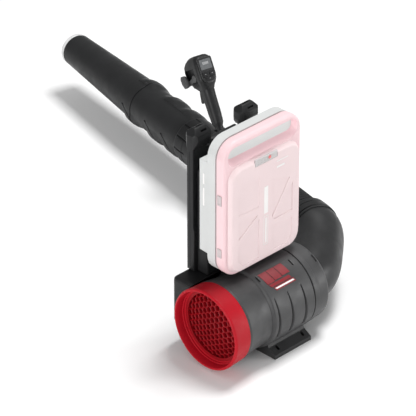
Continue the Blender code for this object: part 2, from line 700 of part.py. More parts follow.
def hose_section(name, start, end, folds):
    """A stretch of corrugated hose: a row of round folds on the outside, plain inside."""
    pitch = (end - start) / folds
    outline = []
    for fold in range(folds):
        base = start + fold * pitch
        for share, height in ((0.0, 0.0), (0.5, 1.0)):
            outline.append((HOSE_RADIUS + HOSE_CORRUGATION * height, base + share * pitch))
    outline.append((HOSE_RADIUS, end))
    outline += [(HOSE_RADIUS - 0.0025, end), (HOSE_RADIUS - 0.0025, start)]
    return turned(name, outline, RUBBER, TUBE_FRAME, steps=FINE_STEPS)


def hose_collar():
    """Collar that closes the hose's far end and lets the tube turn in it."""
    outline = [(0.0555, HOSE_END + GAP), (0.0585, HOSE_END + 0.003), (0.0585, HOSE_END + 0.022),
               (0.0560, HOSE_END + 0.026), (0.0505, HOSE_END + 0.026), (0.0505, HOSE_END + GAP)]
    return turned("hose_collar", outline, BLACK, TUBE_FRAME)


def swivel_sleeve():
    """Sleeve that turns in the hose collar: lengthwise grip grooves near its front edge."""
    inner, socket = 0.0465, SLEEVE_END - 0.030
    outline = [(SLEEVE_RADIUS, SLEEVE_START), (SLEEVE_RADIUS, SLEEVE_END - 0.006),
               (SLEEVE_RADIUS - 0.0008, SLEEVE_END), (TUBE_RADIUS + GAP, SLEEVE_END),
               (TUBE_RADIUS + GAP, socket), (inner, socket), (inner, SLEEVE_START)]
    sleeve = turned("swivel_sleeve", outline, BLACK, TUBE_FRAME)
    for index in range(12):
        turn = Matrix.Rotation(radians(30 * index + 24), 4, "Z")
        groove = block("grip_groove", (0.0518, -0.0012, SLEEVE_END - 0.055),
                       (0.06, 0.0012, SLEEVE_END - 0.012), None, TUBE_FRAME @ turn, cutter=True)
        combine(sleeve, groove)
    return sleeve


def bump(name, station, length, height, side, matrix):
    """A long oval swelling on a tube's side, as a cutter to be joined on."""
    mesh = bpy.data.meshes.new(name)
    shape = bmesh.new()
    bmesh.ops.create_uvsphere(shape, u_segments=12, v_segments=8, radius=1.0)
    bmesh.ops.scale(shape, vec=(height, 0.030, length / 2), verts=shape.verts)
    bmesh.ops.translate(shape, vec=(side * (TUBE_RADIUS - 0.002), 0, station), verts=shape.verts)
    shape.to_mesh(mesh)
    shape.free()
    return add(name, mesh, None, matrix, cutter=True)


def tube_main():
    """Main tube: two pairs of oval swellings over its bayonet, and a seam ridge along the top."""
    start = SLEEVE_END - 0.029
    outline = [(0, start), (TUBE_RADIUS, start), (TUBE_RADIUS, SEAM - GAP), (0, SEAM - GAP)]
    tube = turned("tube_main", outline, BLACK, TUBE_FRAME)
    for number, station in enumerate((0.478, 0.545)):
        for side in (-1, 1):
            swell = bump(f"tube_swelling_{number}", station, 0.062, 0.0075, side, TUBE_FRAME)
            combine(tube, swell, "UNION")
    ridge = block("top_ridge", (-0.003, -TUBE_RADIUS - 0.002, SLEEVE_END + 0.028),
                  (0.003, -TUBE_RADIUS + 0.002, SEAM - 0.072), None, TUBE_FRAME, cutter=True)
    combine(tube, ridge, "UNION")
    bore = rod("tube_bore", TUBE_RADIUS - TUBE_WALL, start - 0.01, SEAM + 0.01, None, TUBE_FRAME,
               ROUND_STEPS, cutter=True)
    return combine(tube, bore)


def nozzle_tube():
    """Tapered nozzle that twists onto the main tube."""
    flare = 0.030
    outline = [(0, SEAM), (TUBE_RADIUS, SEAM), (TUBE_RADIUS - 0.0005, SEAM + flare),
               (OUTLET_RADIUS, OUTLET - RING_LENGTH), (0, OUTLET - RING_LENGTH)]
    nozzle = turned("nozzle_tube", outline, BLACK, TUBE_FRAME)
    for side in (-1, 1):
        combine(nozzle, bump("nozzle_swelling", SEAM + 0.020, 0.058, 0.0070, side, TUBE_FRAME), "UNION")
    ridge = block("nozzle_ridge", (-0.003, -TUBE_RADIUS - 0.002, SEAM + 0.008),
                  (0.003, -TUBE_RADIUS + 0.003, SEAM + 0.034), None, TUBE_FRAME, cutter=True)
    combine(nozzle, ridge, "UNION")
    bore = turned("nozzle_bore", [(0, SEAM - 0.03), (TUBE_RADIUS - TUBE_WALL, SEAM - 0.03),
                                  (TUBE_RADIUS - TUBE_WALL, SEAM),
                                  (TUBE_RADIUS - TUBE_WALL - 0.0005, SEAM + flare),
                                  (OUTLET_RADIUS - TUBE_WALL, OUTLET - RING_LENGTH),
                                  (OUTLET_RADIUS - TUBE_WALL, OUTLET + 0.01), (0, OUTLET + 0.01)],
                  None, TUBE_FRAME, cutter=True)
    combine(nozzle, bore)
    flush = block("seam_plane", (-0.1, -0.1, SEAM - 0.05), (0.1, 0.1, SEAM), None, TUBE_FRAME,
                  cutter=True)
    return combine(nozzle, flush)


def nozzle_ring():
    start = OUTLET - RING_LENGTH + GAP
    outline = [(OUTLET_RADIUS + 0.0003, start), (OUTLET_RADIUS - 0.0002, OUTLET - 0.001),
               (OUTLET_RADIUS - 0.0012, OUTLET), (OUTLET_RADIUS - 0.0045, OUTLET),
               (OUTLET_RADIUS - TUBE_WALL, start)]
    return turned("nozzle_ring", outline, STEEL, TUBE_FRAME)


# ---------------------------------------------------------------- control handle
ACROSS = Matrix.Rotation(radians(90), 4, "Y")
SIDE_VIEW = frame((0, 0, 0), Vector((0, 1, 0)), Vector((0, 0, 1)), Vector((1, 0, 0)))
HEAD_FRAME = HANDLE_FRAME @ Matrix.Translation((0, 0, HEAD_LOW))
TRIGGER_PIVOT = HEAD_FRAME @ Matrix.Translation((0, 0.0095, -0.0100))
LEVER_PIVOT = HEAD_FRAME @ Matrix.Translation((-0.019, 0.002, 0.0215))
LEVER_DROOP = radians(15)
# each key's name, its place on the face (across, up) and half its width and height
KEYS = (("key_left", -0.0085, 0.0240, 0.0063, 0.0048), ("key_right", 0.0085, 0.0240, 0.0063, 0.0048),
        ("key_wide", 0.0, 0.0135, 0.0105, 0.0036))


def handle_clamp():
    """Ring round the sleeve with two cheeks that hold the handle's foot."""
    half, inner, outer = 0.020, SLEEVE_RADIUS + GAP, 0.0575
    low, high = HANDLE_STATION - half, HANDLE_STATION + half
    ring = turned("handle_clamp", [(inner, low), (outer, low), (outer, high), (inner, high)], BLACK,
                  TUBE_FRAME)
    for side in (-1, 1):
        faces = sorted((side * 0.0085, side * 0.0135))
        cheek = block("clamp_cheek", (faces[0], -HANDLE_LIFT - 0.0085, HANDLE_STATION - 0.011),
                      (faces[1], -0.0548, HANDLE_STATION + 0.011), None, TUBE_FRAME, cutter=True)
        combine(ring, cheek, "UNION")
    hole = rod("pivot_hole", PIVOT_HOLE, -0.03, 0.03, None, HANDLE_FRAME @ ACROSS, 20, cutter=True)
    return combine(ring, hole)


def pivot_bolt():
    return rod("pivot_bolt", PIVOT_BOLT, -0.0150, 0.0150, STEEL, HANDLE_FRAME @ ACROSS, 20)


def handle_stalk():
    """Oval grip that leans forwards from the clamp, with a foot on the pivot bolt."""
    curve = bpy.data.curves.new("handle_stalk", "CURVE")
    curve.dimensions = "3D"
    curve.bevel_depth = STALK_RADIUS
    curve.bevel_resolution = 4
    curve.resolution_u = 6
    curve.use_fill_caps = True
    spline = curve.splines.new("BEZIER")
    spline.bezier_points.add(2)
    foot_top, top = 0.022, HEAD_LOW - GAP
    for point, z, y in zip(spline.bezier_points, (foot_top, (foot_top + top) / 2, top),
                           (0, -0.0015, 0)):
        point.co = (0, y, z)
        point.handle_left = (0, y, z - 0.016)
        point.handle_right = (0, y, z + 0.016)
    holder = bpy.data.objects.new("handle_stalk", curve)
    PARTS.objects.link(holder)
    mesh = as_mesh(holder, "handle_stalk")
    mesh.transform(Matrix.Diagonal((0.95, 1.0, 1.0, 1.0)))
    stalk = add("handle_stalk", mesh, BLACK, HANDLE_FRAME)
    foot = block("stalk_foot", (-0.0080, -0.0070, -0.0065), (0.0080, 0.0070, 0.028), None, HANDLE_FRAME,
                 cutter=True)
    combine(stalk, foot, "UNION")
    combine(stalk, rod("foot_hole", PIVOT_HOLE, -0.03, 0.03, None, HANDLE_FRAME @ ACROSS, 20, cutter=True))
    throat = block("trigger_throat", (-0.0042, 0.0035, -0.040), (0.0042, 0.030, 0.010), None,
                   HEAD_FRAME, cutter=True)
    combine(stalk, throat)
    return combine(stalk, rod("pin_hole", PIN_HOLE, -0.02, 0.02, None, TRIGGER_PIVOT @ ACROSS, 16,
                              cutter=True))


def control_head():
    """Head of the handle: a face for the display and keys, and a recess for the cruise lever."""
    outline = [(-0.026, 0.0035), (-0.026, 0.0675), (-0.021, HEAD_LENGTH), (0.006, HEAD_LENGTH),
               (0.026, 0.059), (0.028, 0.032), (0.024, 0.006), (0.012, 0), (-0.021, 0)]
    head = plate("control_head", outline, -HEAD_HALF_WIDTH, HEAD_HALF_WIDTH, BLACK,
                 HEAD_FRAME @ SIDE_VIEW)
    rounding(head, 0.0035, 2, 42)
    seat = block("face_seat", (-0.0175, -0.04, 0.0085), (0.0175, -0.0235, 0.0625), None, HEAD_FRAME,
                 cutter=True)
    combine(head, seat)
    bay = block("key_bay", (-0.0152, -0.03, 0.0094), (0.0152, -0.0195, 0.0293), None, HEAD_FRAME,
                cutter=True)
    combine(head, bay)
    recess = block("lever_recess", (-0.03, -0.0065, 0.0057), (-0.0145, 0.05, 0.0430), None, HEAD_FRAME,
                   cutter=True)
    return combine(head, recess)


def display_frame():
    """Raised frame on the head's face, with windows for the display and the keys."""
    bezel = block("display_frame", (-0.0172, -0.0268, 0.0088), (0.0172, -0.0238, 0.0622), GREY,
                  HEAD_FRAME, 0.0008, 1)
    screen = block("screen_window", (-0.0155, -0.04, 0.0345), (0.0155, -0.0255, 0.0595), None, HEAD_FRAME,
                   cutter=True)
    combine(bezel, screen)
    for name, x, z, half, tall in KEYS:
        window = block(name + "_window", (x - half - GAP, -0.04, z - tall - GAP),
                       (x + half + GAP, -0.0195, z + tall + GAP), None, HEAD_FRAME, cutter=True)
        combine(bezel, window)
    return bezel


def display_window():
    return block("display_window", (-0.0152, -0.0266, 0.0348), (0.0152, -0.0258, 0.0592), GLASS,
                 HEAD_FRAME)


def key(name, x, z, half, tall):
    return block(name, (-half, -0.0282, -tall), (half, -0.0222, tall), BLACK,
                 HEAD_FRAME @ Matrix.Translation((x, 0, z)), 0.0008, 1)


def trigger():
    """Finger lever under the head, pivoted in the handle's throat."""
    outline = [(-0.0035, 0.0050), (0.0140, 0.0025), (0.0170, -0.0070), (0.0130, -0.0220),
               (0.0085, -0.0240), (0.0070, -0.0180), (0.0075, -0.0080), (-0.0035, -0.0050)]
    lever = plate("trigger", outline, -0.0038, 0.0038, BLACK, TRIGGER_PIVOT @ SIDE_VIEW)
    return combine(lever, rod("trigger_hole", PIN_HOLE, -0.02, 0.02, None, TRIGGER_PIVOT @ ACROSS, 16,
                              cutter=True))


def trigger_pin():
    return rod("trigger_pin", PIN_RADIUS, -0.0075, 0.0075, STEEL, TRIGGER_PIVOT @ ACROSS, 16)


def cruise_lever():
    """Speed-holding lever on the left of the head: a round boss and a ribbed thumb pad in front."""
    place = LEVER_PIVOT @ Matrix.Rotation(-LEVER_DROOP, 4, "X")
    boss = rod("cruise_lever", 0.0075, -0.0040, 0.0040, BLACK, place @ ACROSS, 24)
    pad = block("lever_pad", (-0.0038, 0.002, -0.0048), (0.0038, 0.0330, 0.0048), None, place, 0.0012, 1,
                cutter=True)
    return combine(boss, pad, "UNION")


# ---------------------------------------------------------------- joint axes
def axis_empty(name, place, parent, children):
    """An empty on a joint's axis, which carries the pieces that move about it."""
    empty = bpy.data.objects.new(name, None)
    PARTS.objects.link(empty)
    empty.matrix_world = place
    bpy.context.view_layer.update()
    if parent:
        hang(empty, parent)
    for child in children:
        hang(bpy.data.objects[child], empty)
    return empty


def hang(thing, parent):
    thing.parent = parent
    thing.matrix_parent_inverse = parent.matrix_world.inverted()


def joint_axes():
    """Every moving piece hangs from an empty on its joint's axis, outer joints from inner ones."""
    along_tube = [TUBE_FRAME @ Matrix.Translation((0, 0, station)) for station in
                  (HOSE_LIFT, HOSE_SWING, SLEEVE_START, SEAM)]
    axis_empty("fan_axis", FAN_FRAME, None, ["impeller", "nose_cone"])
    axis_empty("latch_axis", Matrix.Translation((BATTERY_X, 0.070, 0.353)), None, ["dock_latch"])
    battery = axis_empty("battery_axis", Matrix.Translation((BATTERY_X, 0.030, 0.347)), None, [
        "battery_cover", "battery_mid_shell", "battery_rear_shell", "cell_pack", "indicator_panel",
        "battery_clip_left_high", "battery_clip_left_low", "battery_clip_right_high",
        "battery_clip_right_low"])
    hang(bpy.data.objects["indicator_button"], battery)
    lift = axis_empty("hose_lift_axis", along_tube[0], None, ["hose_middle"])
    swing = axis_empty("hose_swing_axis", along_tube[1], lift, ["hose_front", "hose_collar"])
    tube = axis_empty("tube_axis", along_tube[2], swing, ["swivel_sleeve", "tube_main",
                                                          "handle_clamp", "pivot_bolt"])
    axis_empty("nozzle_axis", along_tube[3], tube, ["nozzle_tube", "nozzle_ring"])
    handle = axis_empty("handle_axis", HANDLE_FRAME, tube, ["handle_stalk", "control_head",
                                                            "display_frame", "display_window",
                                                            "trigger_pin"])
    for moving in ("trigger", "cruise_lever", "key_left", "key_right", "key_wide"):
        hang(bpy.data.objects[moving], handle)


# ---------------------------------------------------------------- build
intake_ring()
intake_guard()
inlet_duct()
fan_housing()
air_duct()
badge_plate()
impeller()
nose_cone()
motor_mount()
motor()
tail_cone()
stand_rear()
stand_front()
frame_base()
controller()
frame_post("frame_post_left", -1)
frame_post("frame_post_right", 1)
frame_crossbar()
battery_dock()
dock_connector()
dock_latch()
battery_cover()
battery_mid_shell()
battery_rear_shell()
cell_pack()
indicator_panel()
indicator_button()
for side_name, side_sign in (("left", -1), ("right", 1)):
    battery_clip(f"battery_clip_{side_name}_high", side_sign, 0.364, 0.387)
    battery_clip(f"battery_clip_{side_name}_low", side_sign, 0.243, 0.263)
clamp_collar()
elbow()
elbow_cuff()
HOSE_THIRD = (HOSE_END - HOSE_START) / 3
hose_section("hose_rear", HOSE_START, HOSE_START + HOSE_THIRD - GAP, HOSE_FOLDS)
hose_section("hose_middle", HOSE_START + HOSE_THIRD, HOSE_START + 2 * HOSE_THIRD - GAP, HOSE_FOLDS)
hose_section("hose_front", HOSE_START + 2 * HOSE_THIRD, HOSE_END, HOSE_FOLDS)
hose_collar()
swivel_sleeve()
tube_main()
nozzle_tube()
nozzle_ring()
handle_clamp()
pivot_bolt()
handle_stalk()
control_head()
display_frame()
display_window()
for key_place in KEYS:
    key(*key_place)
trigger()
trigger_pin()
cruise_lever()
bpy.context.view_layer.update()
joint_axes()
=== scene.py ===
"""Looks of the backpack blower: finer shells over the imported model, moulded plastics, light and camera.

Metres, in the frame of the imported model: +Z up, the fan along +X, the tube blowing towards +Y.
"""
import json
from math import cos, pi, radians, sin, sqrt

import bmesh
import bpy
from mathutils import Matrix, Vector


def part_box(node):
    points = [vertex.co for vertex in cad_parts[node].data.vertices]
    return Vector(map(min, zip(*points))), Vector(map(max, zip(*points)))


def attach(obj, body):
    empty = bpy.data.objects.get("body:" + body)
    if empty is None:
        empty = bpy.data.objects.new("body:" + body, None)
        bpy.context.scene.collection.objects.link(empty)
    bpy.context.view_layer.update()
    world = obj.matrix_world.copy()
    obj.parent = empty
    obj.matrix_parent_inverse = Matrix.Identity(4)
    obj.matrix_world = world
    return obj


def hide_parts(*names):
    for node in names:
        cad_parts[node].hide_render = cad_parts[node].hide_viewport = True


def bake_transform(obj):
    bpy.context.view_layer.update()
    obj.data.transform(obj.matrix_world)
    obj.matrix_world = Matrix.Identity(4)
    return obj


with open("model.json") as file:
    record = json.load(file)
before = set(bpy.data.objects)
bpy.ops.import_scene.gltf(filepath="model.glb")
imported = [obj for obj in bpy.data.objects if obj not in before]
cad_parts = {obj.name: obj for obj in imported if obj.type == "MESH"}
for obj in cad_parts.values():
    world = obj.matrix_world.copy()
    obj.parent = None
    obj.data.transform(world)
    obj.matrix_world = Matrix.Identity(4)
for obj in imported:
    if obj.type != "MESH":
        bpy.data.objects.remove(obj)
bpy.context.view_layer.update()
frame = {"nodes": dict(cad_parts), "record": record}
JOINTS = {joint["name"]: joint for joint in frame["record"]["behaviour"]["joints"]}
NODES = frame["nodes"]


def box_corners(name):
    """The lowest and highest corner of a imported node."""
    return tuple(Vector(corner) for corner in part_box(name))


def placed(origin, axes):
    return Matrix.Translation(origin) @ Matrix(axes).transposed().to_4x4()


# ---- places taken from the frame
ring_low, ring_high = box_corners("intake_ring")
FAN_ORIGIN = Vector((ring_low.x, 0, (ring_low.z + ring_high.z) / 2))
FAN_AXES = (Vector((0, -1, 0)), Vector((0, 0, 1)), Vector((1, 0, 0)))
TUBE_WAY = Vector(JOINTS["nozzle_twist"]["axis"]).normalized()
TUBE_SIDE = Vector((TUBE_WAY.y, -TUBE_WAY.x, 0))
SEAM = 0.626                                     # stations along the tube, from the elbow's mouth
MOUTH = Vector(JOINTS["nozzle_twist"]["pos_m"]) - TUBE_WAY * SEAM
TUBE_AXES = (-TUBE_SIDE, Vector((0, 0, 1)), TUBE_WAY)
HANDLE_PIVOT = Vector(JOINTS["handle_tilt"]["pos_m"])
FACE_IN = Vector(JOINTS["key_wide_press"]["axis"]).normalized()
HANDLE_WAY = TUBE_SIDE.cross(FACE_IN).normalized()

WELD = 0.00002                                   # vertices this near after a cut become one
AROUND = 192                                     # facets round a finely turned shell
INTAKE_RADIUS = (ring_high.z - ring_low.z) / 2
HEAD_BASE = 0.110                                # where the head's own height 0 is on the handle
HANDLE_PLACE = placed(HANDLE_PIVOT, (TUBE_SIDE, FACE_IN, HANDLE_WAY))
HEAD_PLACE = HANDLE_PLACE @ Matrix.Translation((0, 0, HEAD_BASE))
FAN_PLACE = placed(FAN_ORIGIN, FAN_AXES)


# ---- materials
class Nodes:
    """Shorthand for building one node tree."""

    def __init__(self, name):
        self.material = bpy.data.materials.new(name)
        self.material.use_nodes = True
        self.tree = self.material.node_tree
        self.shader = self.tree.nodes["Principled BSDF"]

    def add(self, kind, settings=None, **inputs):
        node = self.tree.nodes.new(kind)
        for key, value in (settings or {}).items():
            setattr(node, key, value)
        for key, value in inputs.items():
            self.feed(node, key.replace("_", " "), value)
        return node

    def feed(self, node, key, value):
        socket = node.inputs[int(key)] if key.isdigit() else node.inputs[key]
        if isinstance(value, bpy.types.NodeSocket):
            self.tree.links.new(value, socket)
        else:
            socket.default_value = value

    def math(self, operation, first, second=0.0):
        node = self.add("ShaderNodeMath", {"operation": operation})
        self.feed(node, "0", first)
        self.feed(node, "1", second)
        return node.outputs[0]

    def ramp(self, value, low, high, low_out=0.0, high_out=1.0):
        node = self.add("ShaderNodeMapRange", {"interpolation_type": "SMOOTHSTEP"})
        for key, number in (("From Min", low), ("From Max", high), ("To Min", low_out),
                ("To Max", high_out)):
            node.inputs[key].default_value = number
        self.tree.links.new(value, node.inputs["Value"])
        return node.outputs["Result"]

    def blend(self, share, first, second):
        node = self.add("ShaderNodeMix", {"data_type": "RGBA"})
        self.feed(node, "0", share)
        self.feed(node, "6", first)
        self.feed(node, "7", second)
        return node.outputs[2]

    def noise(self, scale, detail=4.0, roughness=0.55):
        place = self.add("ShaderNodeTexCoord").outputs["Object"]
        node = self.add("ShaderNodeTexNoise", Vector=place, Scale=scale, Detail=detail,
                Roughness=roughness)
        return node.outputs["Fac"]


def tint(colour, gain):
    return (*(min(1.0, channel * gain) for channel in colour), 1.0)


def moulded(name, colour, roughness, grain=0.12, edge=0.0009, wear=1.6, cloud=0.16, gloss=0.5):
    """Moulded plastic: eroded grain, slightly uneven colour and gloss, edges rounded and paler."""
    n = Nodes(name)
    rounding = n.add("ShaderNodeBevel", {"samples": 4}, Radius=edge)
    geometry = n.add("ShaderNodeNewGeometry")
    dot = n.add("ShaderNodeVectorMath", {"operation": "DOT_PRODUCT"})
    n.feed(dot, "0", rounding.outputs[0])
    n.feed(dot, "1", geometry.outputs["Normal"])
    turned_away = n.math("SUBTRACT", 1.0, dot.outputs["Value"])
    broad = n.noise(14.0, 3.0)
    fine = n.noise(900.0, 2.0)
    speck = n.noise(2600.0, 1.0)
    rub = n.math("MULTIPLY", n.ramp(turned_away, 0.02, 0.25), n.ramp(n.noise(60.0), 0.35, 0.65))
    base = n.blend(n.ramp(broad, 0.3, 0.7), tint(colour, 1 - cloud), tint(colour, 1 + cloud))
    base = n.blend(n.math("MULTIPLY", n.ramp(speck, 0.5, 0.8), 0.25), base, tint(colour, 1.35))
    base = n.blend(n.math("MULTIPLY", rub, 0.55), base, tint(colour, wear))
    n.feed(n.shader, "Base Color", base)
    n.feed(n.shader, "Roughness", n.ramp(n.noise(45.0), 0.3, 0.7, roughness - 0.05, roughness + 0.07))
    n.shader.inputs["Specular IOR Level"].default_value = gloss
    bump = n.add("ShaderNodeBump", Strength=grain, Distance=0.0004, Height=fine,
            Normal=rounding.outputs[0])
    n.feed(n.shader, "Normal", bump.outputs[0])
    return n.material


def brushed(name, colour, roughness):
    """Machined metal with fine lines across it."""
    n = Nodes(name)
    place = n.add("ShaderNodeTexCoord").outputs["Object"]
    stretch = n.add("ShaderNodeMapping", Vector=place)
    stretch.inputs["Scale"].default_value = (1.0, 1.0, 60.0)
    lines = n.add("ShaderNodeTexNoise", Vector=stretch.outputs[0], Scale=60.0,
            Detail=5.0).outputs["Fac"]
    n.feed(n.shader, "Base Color", n.blend(n.ramp(lines, 0.3, 0.7), tint(colour, 0.8),
            tint(colour, 1.1)))
    n.feed(n.shader, "Roughness", n.ramp(lines, 0.3, 0.7, roughness - 0.06, roughness + 0.1))
    n.shader.inputs["Metallic"].default_value = 1.0
    bump = n.add("ShaderNodeBump", Strength=0.08, Distance=0.0003, Height=lines)
    n.feed(n.shader, "Normal", bump.outputs[0])
    return n.material


def screen(name):
    """A grey reflective display under a clear window, with a plain bar gauge on it."""
    n = Nodes(name)
    grain = n.noise(400.0, 2.0)
    n.feed(n.shader, "Base Color", n.blend(n.ramp(grain, 0.3, 0.7), (0.10, 0.105, 0.11, 1),
            (0.13, 0.135, 0.14, 1)))
    n.feed(n.shader, "Roughness", n.ramp(grain, 0.3, 0.7, 0.14, 0.22))
    n.shader.inputs["Coat Weight"].default_value = 0.6
    return n.material


CHARCOAL = moulded("charcoal_plastic", (0.011, 0.0113, 0.0120), 0.44, gloss=0.28)
HOUSING = moulded("housing_plastic", (0.048, 0.0483, 0.0495), 0.46, grain=0.15, gloss=0.36)
# a lighter copy of the charcoal plastic: painted light standing in for the side light on the elbow
ELBOW_LIT_GREY = moulded("elbow_charcoal_painted_light", (0.0185, 0.0187, 0.0195), 0.42, grain=0.13, gloss=0.34)
FOOT = moulded("foot_plastic", (0.024, 0.0243, 0.025), 0.42, grain=0.15, gloss=0.34)
RUBBER = moulded("soft_rubber", (0.009, 0.009, 0.0096), 0.62, grain=0.2, wear=2.2, gloss=0.3)
RED = moulded("red_plastic", (0.41, 0.0055, 0.0145), 0.46, grain=0.05, wear=1.5, cloud=0.06, gloss=0.16)
# the guard's red is a darker copy of the ring's red: painted shade for the shadows among its cells
GRILLE_SHADED_RED = moulded("grille_red_painted_shade", (0.24, 0.002, 0.006), 0.44, grain=0.05, wear=1.7, cloud=0.08,
        gloss=0.2)
BADGE = moulded("badge_film", (0.22, 0.010, 0.016), 0.42, grain=0.05, wear=1.2, cloud=0.08)
WHITE = moulded("white_print", (0.82, 0.80, 0.79), 0.5, grain=0.04, wear=1.0, cloud=0.02)
PINK = moulded("cover_plastic", (0.80, 0.575, 0.60), 0.46, grain=0.07, wear=1.06, cloud=0.015)
BLUSH = moulded("panel_plastic", (0.755, 0.615, 0.622), 0.48, grain=0.07, wear=1.06, cloud=0.015)
# deeper pink for the finger slot's inner faces: painted shade inside the slot
SLOT_SHADE_PINK = moulded("cover_slot_painted_shade", (0.86, 0.59, 0.625), 0.46, grain=0.07, wear=1.06, cloud=0.015)
PALE = moulded("casing_plastic", (0.575, 0.585, 0.58), 0.48, grain=0.08, wear=1.08, cloud=0.02)
MIST = moulded("slot_plastic", (0.64, 0.665, 0.655), 0.5, grain=0.08, wear=1.05, cloud=0.02)
STEEL = brushed("bright_steel", (0.70, 0.70, 0.71), 0.28)
PALE_RING = moulded("outlet_ring", (0.70, 0.70, 0.70), 0.35, grain=0.04, wear=1.1, cloud=0.03)
CLIP = moulded("clip_plastic", (0.55, 0.485, 0.49), 0.5, grain=0.07, wear=1.05, cloud=0.02)
LAMP_STRIP = moulded("indicator_plastic", (0.52, 0.50, 0.50), 0.45, grain=0.05, wear=1.05, cloud=0.02)
GLOW_RED = moulded("button_plastic", (0.80, 0.20, 0.19), 0.38, grain=0.03, wear=1.2, cloud=0.05)
GLOSS = moulded("face_plastic", (0.020, 0.0203, 0.021), 0.30, grain=0.05, gloss=0.45)
WORN = moulded("lever_rubber", (0.075, 0.075, 0.076), 0.6, grain=0.3, wear=1.8, gloss=0.4)
GAUGE = moulded("gauge_print", (0.34, 0.345, 0.35), 0.4, grain=0.03, wear=1.0, cloud=0.05)
SCREEN = screen("display_window")
FOR_SLOT = {"charcoal_plastic": CHARCOAL, "housing_plastic": HOUSING, "red_plastic": RED,
            "cover_plastic": PINK, "casing_plastic": PALE, "soft_rubber": RUBBER,
            "bright_steel": STEEL, "cells": STEEL, "outlet_ring": PALE_RING, "display_window": SCREEN}
for subpart in frame["record"]["subparts"]:
    shown = NODES[subpart["node"]]
    shown.data.materials.clear()
    shown.data.materials.append(FOR_SLOT[subpart["material_slot"]])
    shown.data.shade_smooth()
    shown.data.set_sharp_from_angle(angle=radians(32))
for name in ("stand_rear", "stand_front"):
    NODES[name].data.materials[0] = FOOT


# ---- modelling helpers
def settle(piece, material, body=None, stands_for=(), angle=34):
    """Give a piece its material, shading and the body it moves with."""
    mesh = piece.data
    mesh.materials.clear()
    mesh.materials.append(material)
    mesh.shade_smooth()
    mesh.set_sharp_from_angle(angle=radians(angle))
    if body:
        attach(piece, body)
    if stands_for:
        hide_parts(*stands_for)
    return piece


def in_scene(name, data):
    shown = bpy.data.objects.new(name, data)
    bpy.context.scene.collection.objects.link(shown)
    return shown


def piece_from(name, shape, place=None):
    """A new object from a bmesh, which is freed."""
    bmesh.ops.recalc_face_normals(shape, faces=shape.faces)
    mesh = bpy.data.meshes.new(name)
    shape.to_mesh(mesh)
    shape.free()
    if place:
        mesh.transform(place)
    return in_scene(name, mesh)


def applied(piece):
    """Make the piece's modifiers part of its mesh."""
    bpy.context.view_layer.update()
    graph = bpy.context.evaluated_depsgraph_get()
    mesh = bpy.data.meshes.new_from_object(piece.evaluated_get(graph))
    piece.modifiers.clear()
    old = piece.data
    piece.data = mesh
    bpy.data.meshes.remove(old)
    mesh.name = piece.name
    return piece


def carve(piece, cutter, operation="DIFFERENCE"):
    """Cut or join with another piece, which is used up."""
    change = piece.modifiers.new("carve", "BOOLEAN")
    change.operation = operation
    change.object = cutter
    change.solver = "EXACT"
    applied(piece)
    bpy.data.objects.remove(cutter, do_unlink=True)
    shape = bmesh.new()
    shape.from_mesh(piece.data)
    bmesh.ops.remove_doubles(shape, verts=shape.verts, dist=WELD)
    bmesh.ops.dissolve_degenerate(shape, edges=shape.edges, dist=WELD)
    bmesh.ops.holes_fill(shape, edges=[edge for edge in shape.edges if edge.is_boundary], sides=12)
    shape.to_mesh(piece.data)
    shape.free()
    return piece


def rounded_off(piece, width, segments=3, angle=35):
    bevel = piece.modifiers.new("round", "BEVEL")
    bevel.width = width
    bevel.segments = segments
    bevel.limit_method = "ANGLE"
    bevel.angle_limit = radians(angle)
    bevel.use_clamp_overlap = True
    return applied(piece)


def slab(name, outline, low, high, place=None):
    """A flat outline in local XY pulled from one height to another."""
    shape = bmesh.new()
    face = shape.faces.new([shape.verts.new((x, y, low)) for x, y in outline])
    pulled = bmesh.ops.extrude_face_region(shape, geom=[face])["geom"]
    moved = [item for item in pulled if isinstance(item, bmesh.types.BMVert)]
    bmesh.ops.translate(shape, vec=(0, 0, high - low), verts=moved)
    return piece_from(name, shape, place)


def circle(radius, count=40):
    return [(radius * cos(2 * pi * i / count), radius * sin(2 * pi * i / count)) for i in range(count)]


def brick(name, low, high, place=None):
    outline = [(low[0], low[1]), (high[0], low[1]), (high[0], high[1]), (low[0], high[1])]
    return slab(name, outline, low[2], high[2], place)


def rounded_outline(width, height, radius, centre=(0, 0), steps=10):
    points = []
    for quarter, (sx, sy) in enumerate(((1, 1), (-1, 1), (-1, -1), (1, -1))):
        for i in range(steps + 1):
            angle = pi / 2 * (quarter + i / steps)
            points.append((centre[0] + sx * (width / 2 - radius) + radius * cos(angle),
                    centre[1] + sy * (height / 2 - radius) + radius * sin(angle)))
    return points


def dense(points, pitch):
    """The same outline with extra points, no further apart than pitch."""
    found = [points[0]]
    for (s0, r0), (s1, r1) in zip(points, points[1:]):
        count = max(1, int(sqrt((s1 - s0) ** 2 + (r1 - r0) ** 2) / pitch + 0.999))
        found += [(s0 + (s1 - s0) * i / count, r0 + (r1 - r0) * i / count)
                  for i in range(1, count + 1)]
    return found


def turned(name, origin, axes, outer, inner, relief=None, around=AROUND):
    """A turned shell. outer and inner are (station, radius) outlines in the same direction, and
    relief(station, degrees) is added to the outer radius, degrees from the first axis to the second."""
    start, up, way = axes
    outline = [(s, r, True) for s, r in outer] + [(s, r, False) for s, r in reversed(inner)]
    shape = bmesh.new()
    rings = []
    for step in range(around):
        angle = 2 * pi * step / around
        degrees = (360 * step / around + 180) % 360 - 180
        ray = start * cos(angle) + up * sin(angle)
        ring = []
        for s, r, carved in outline:
            extra = relief(s, degrees) if carved and relief else 0.0
            ring.append(shape.verts.new(origin + way * s + ray * (r + extra)))
        rings.append(ring)
    for one, other in zip(rings, rings[1:] + rings[:1]):
        for i in range(len(outline)):
            j = (i + 1) % len(outline)
            shape.faces.new((one[i], one[j], other[j], other[i]))
    return piece_from(name, shape)


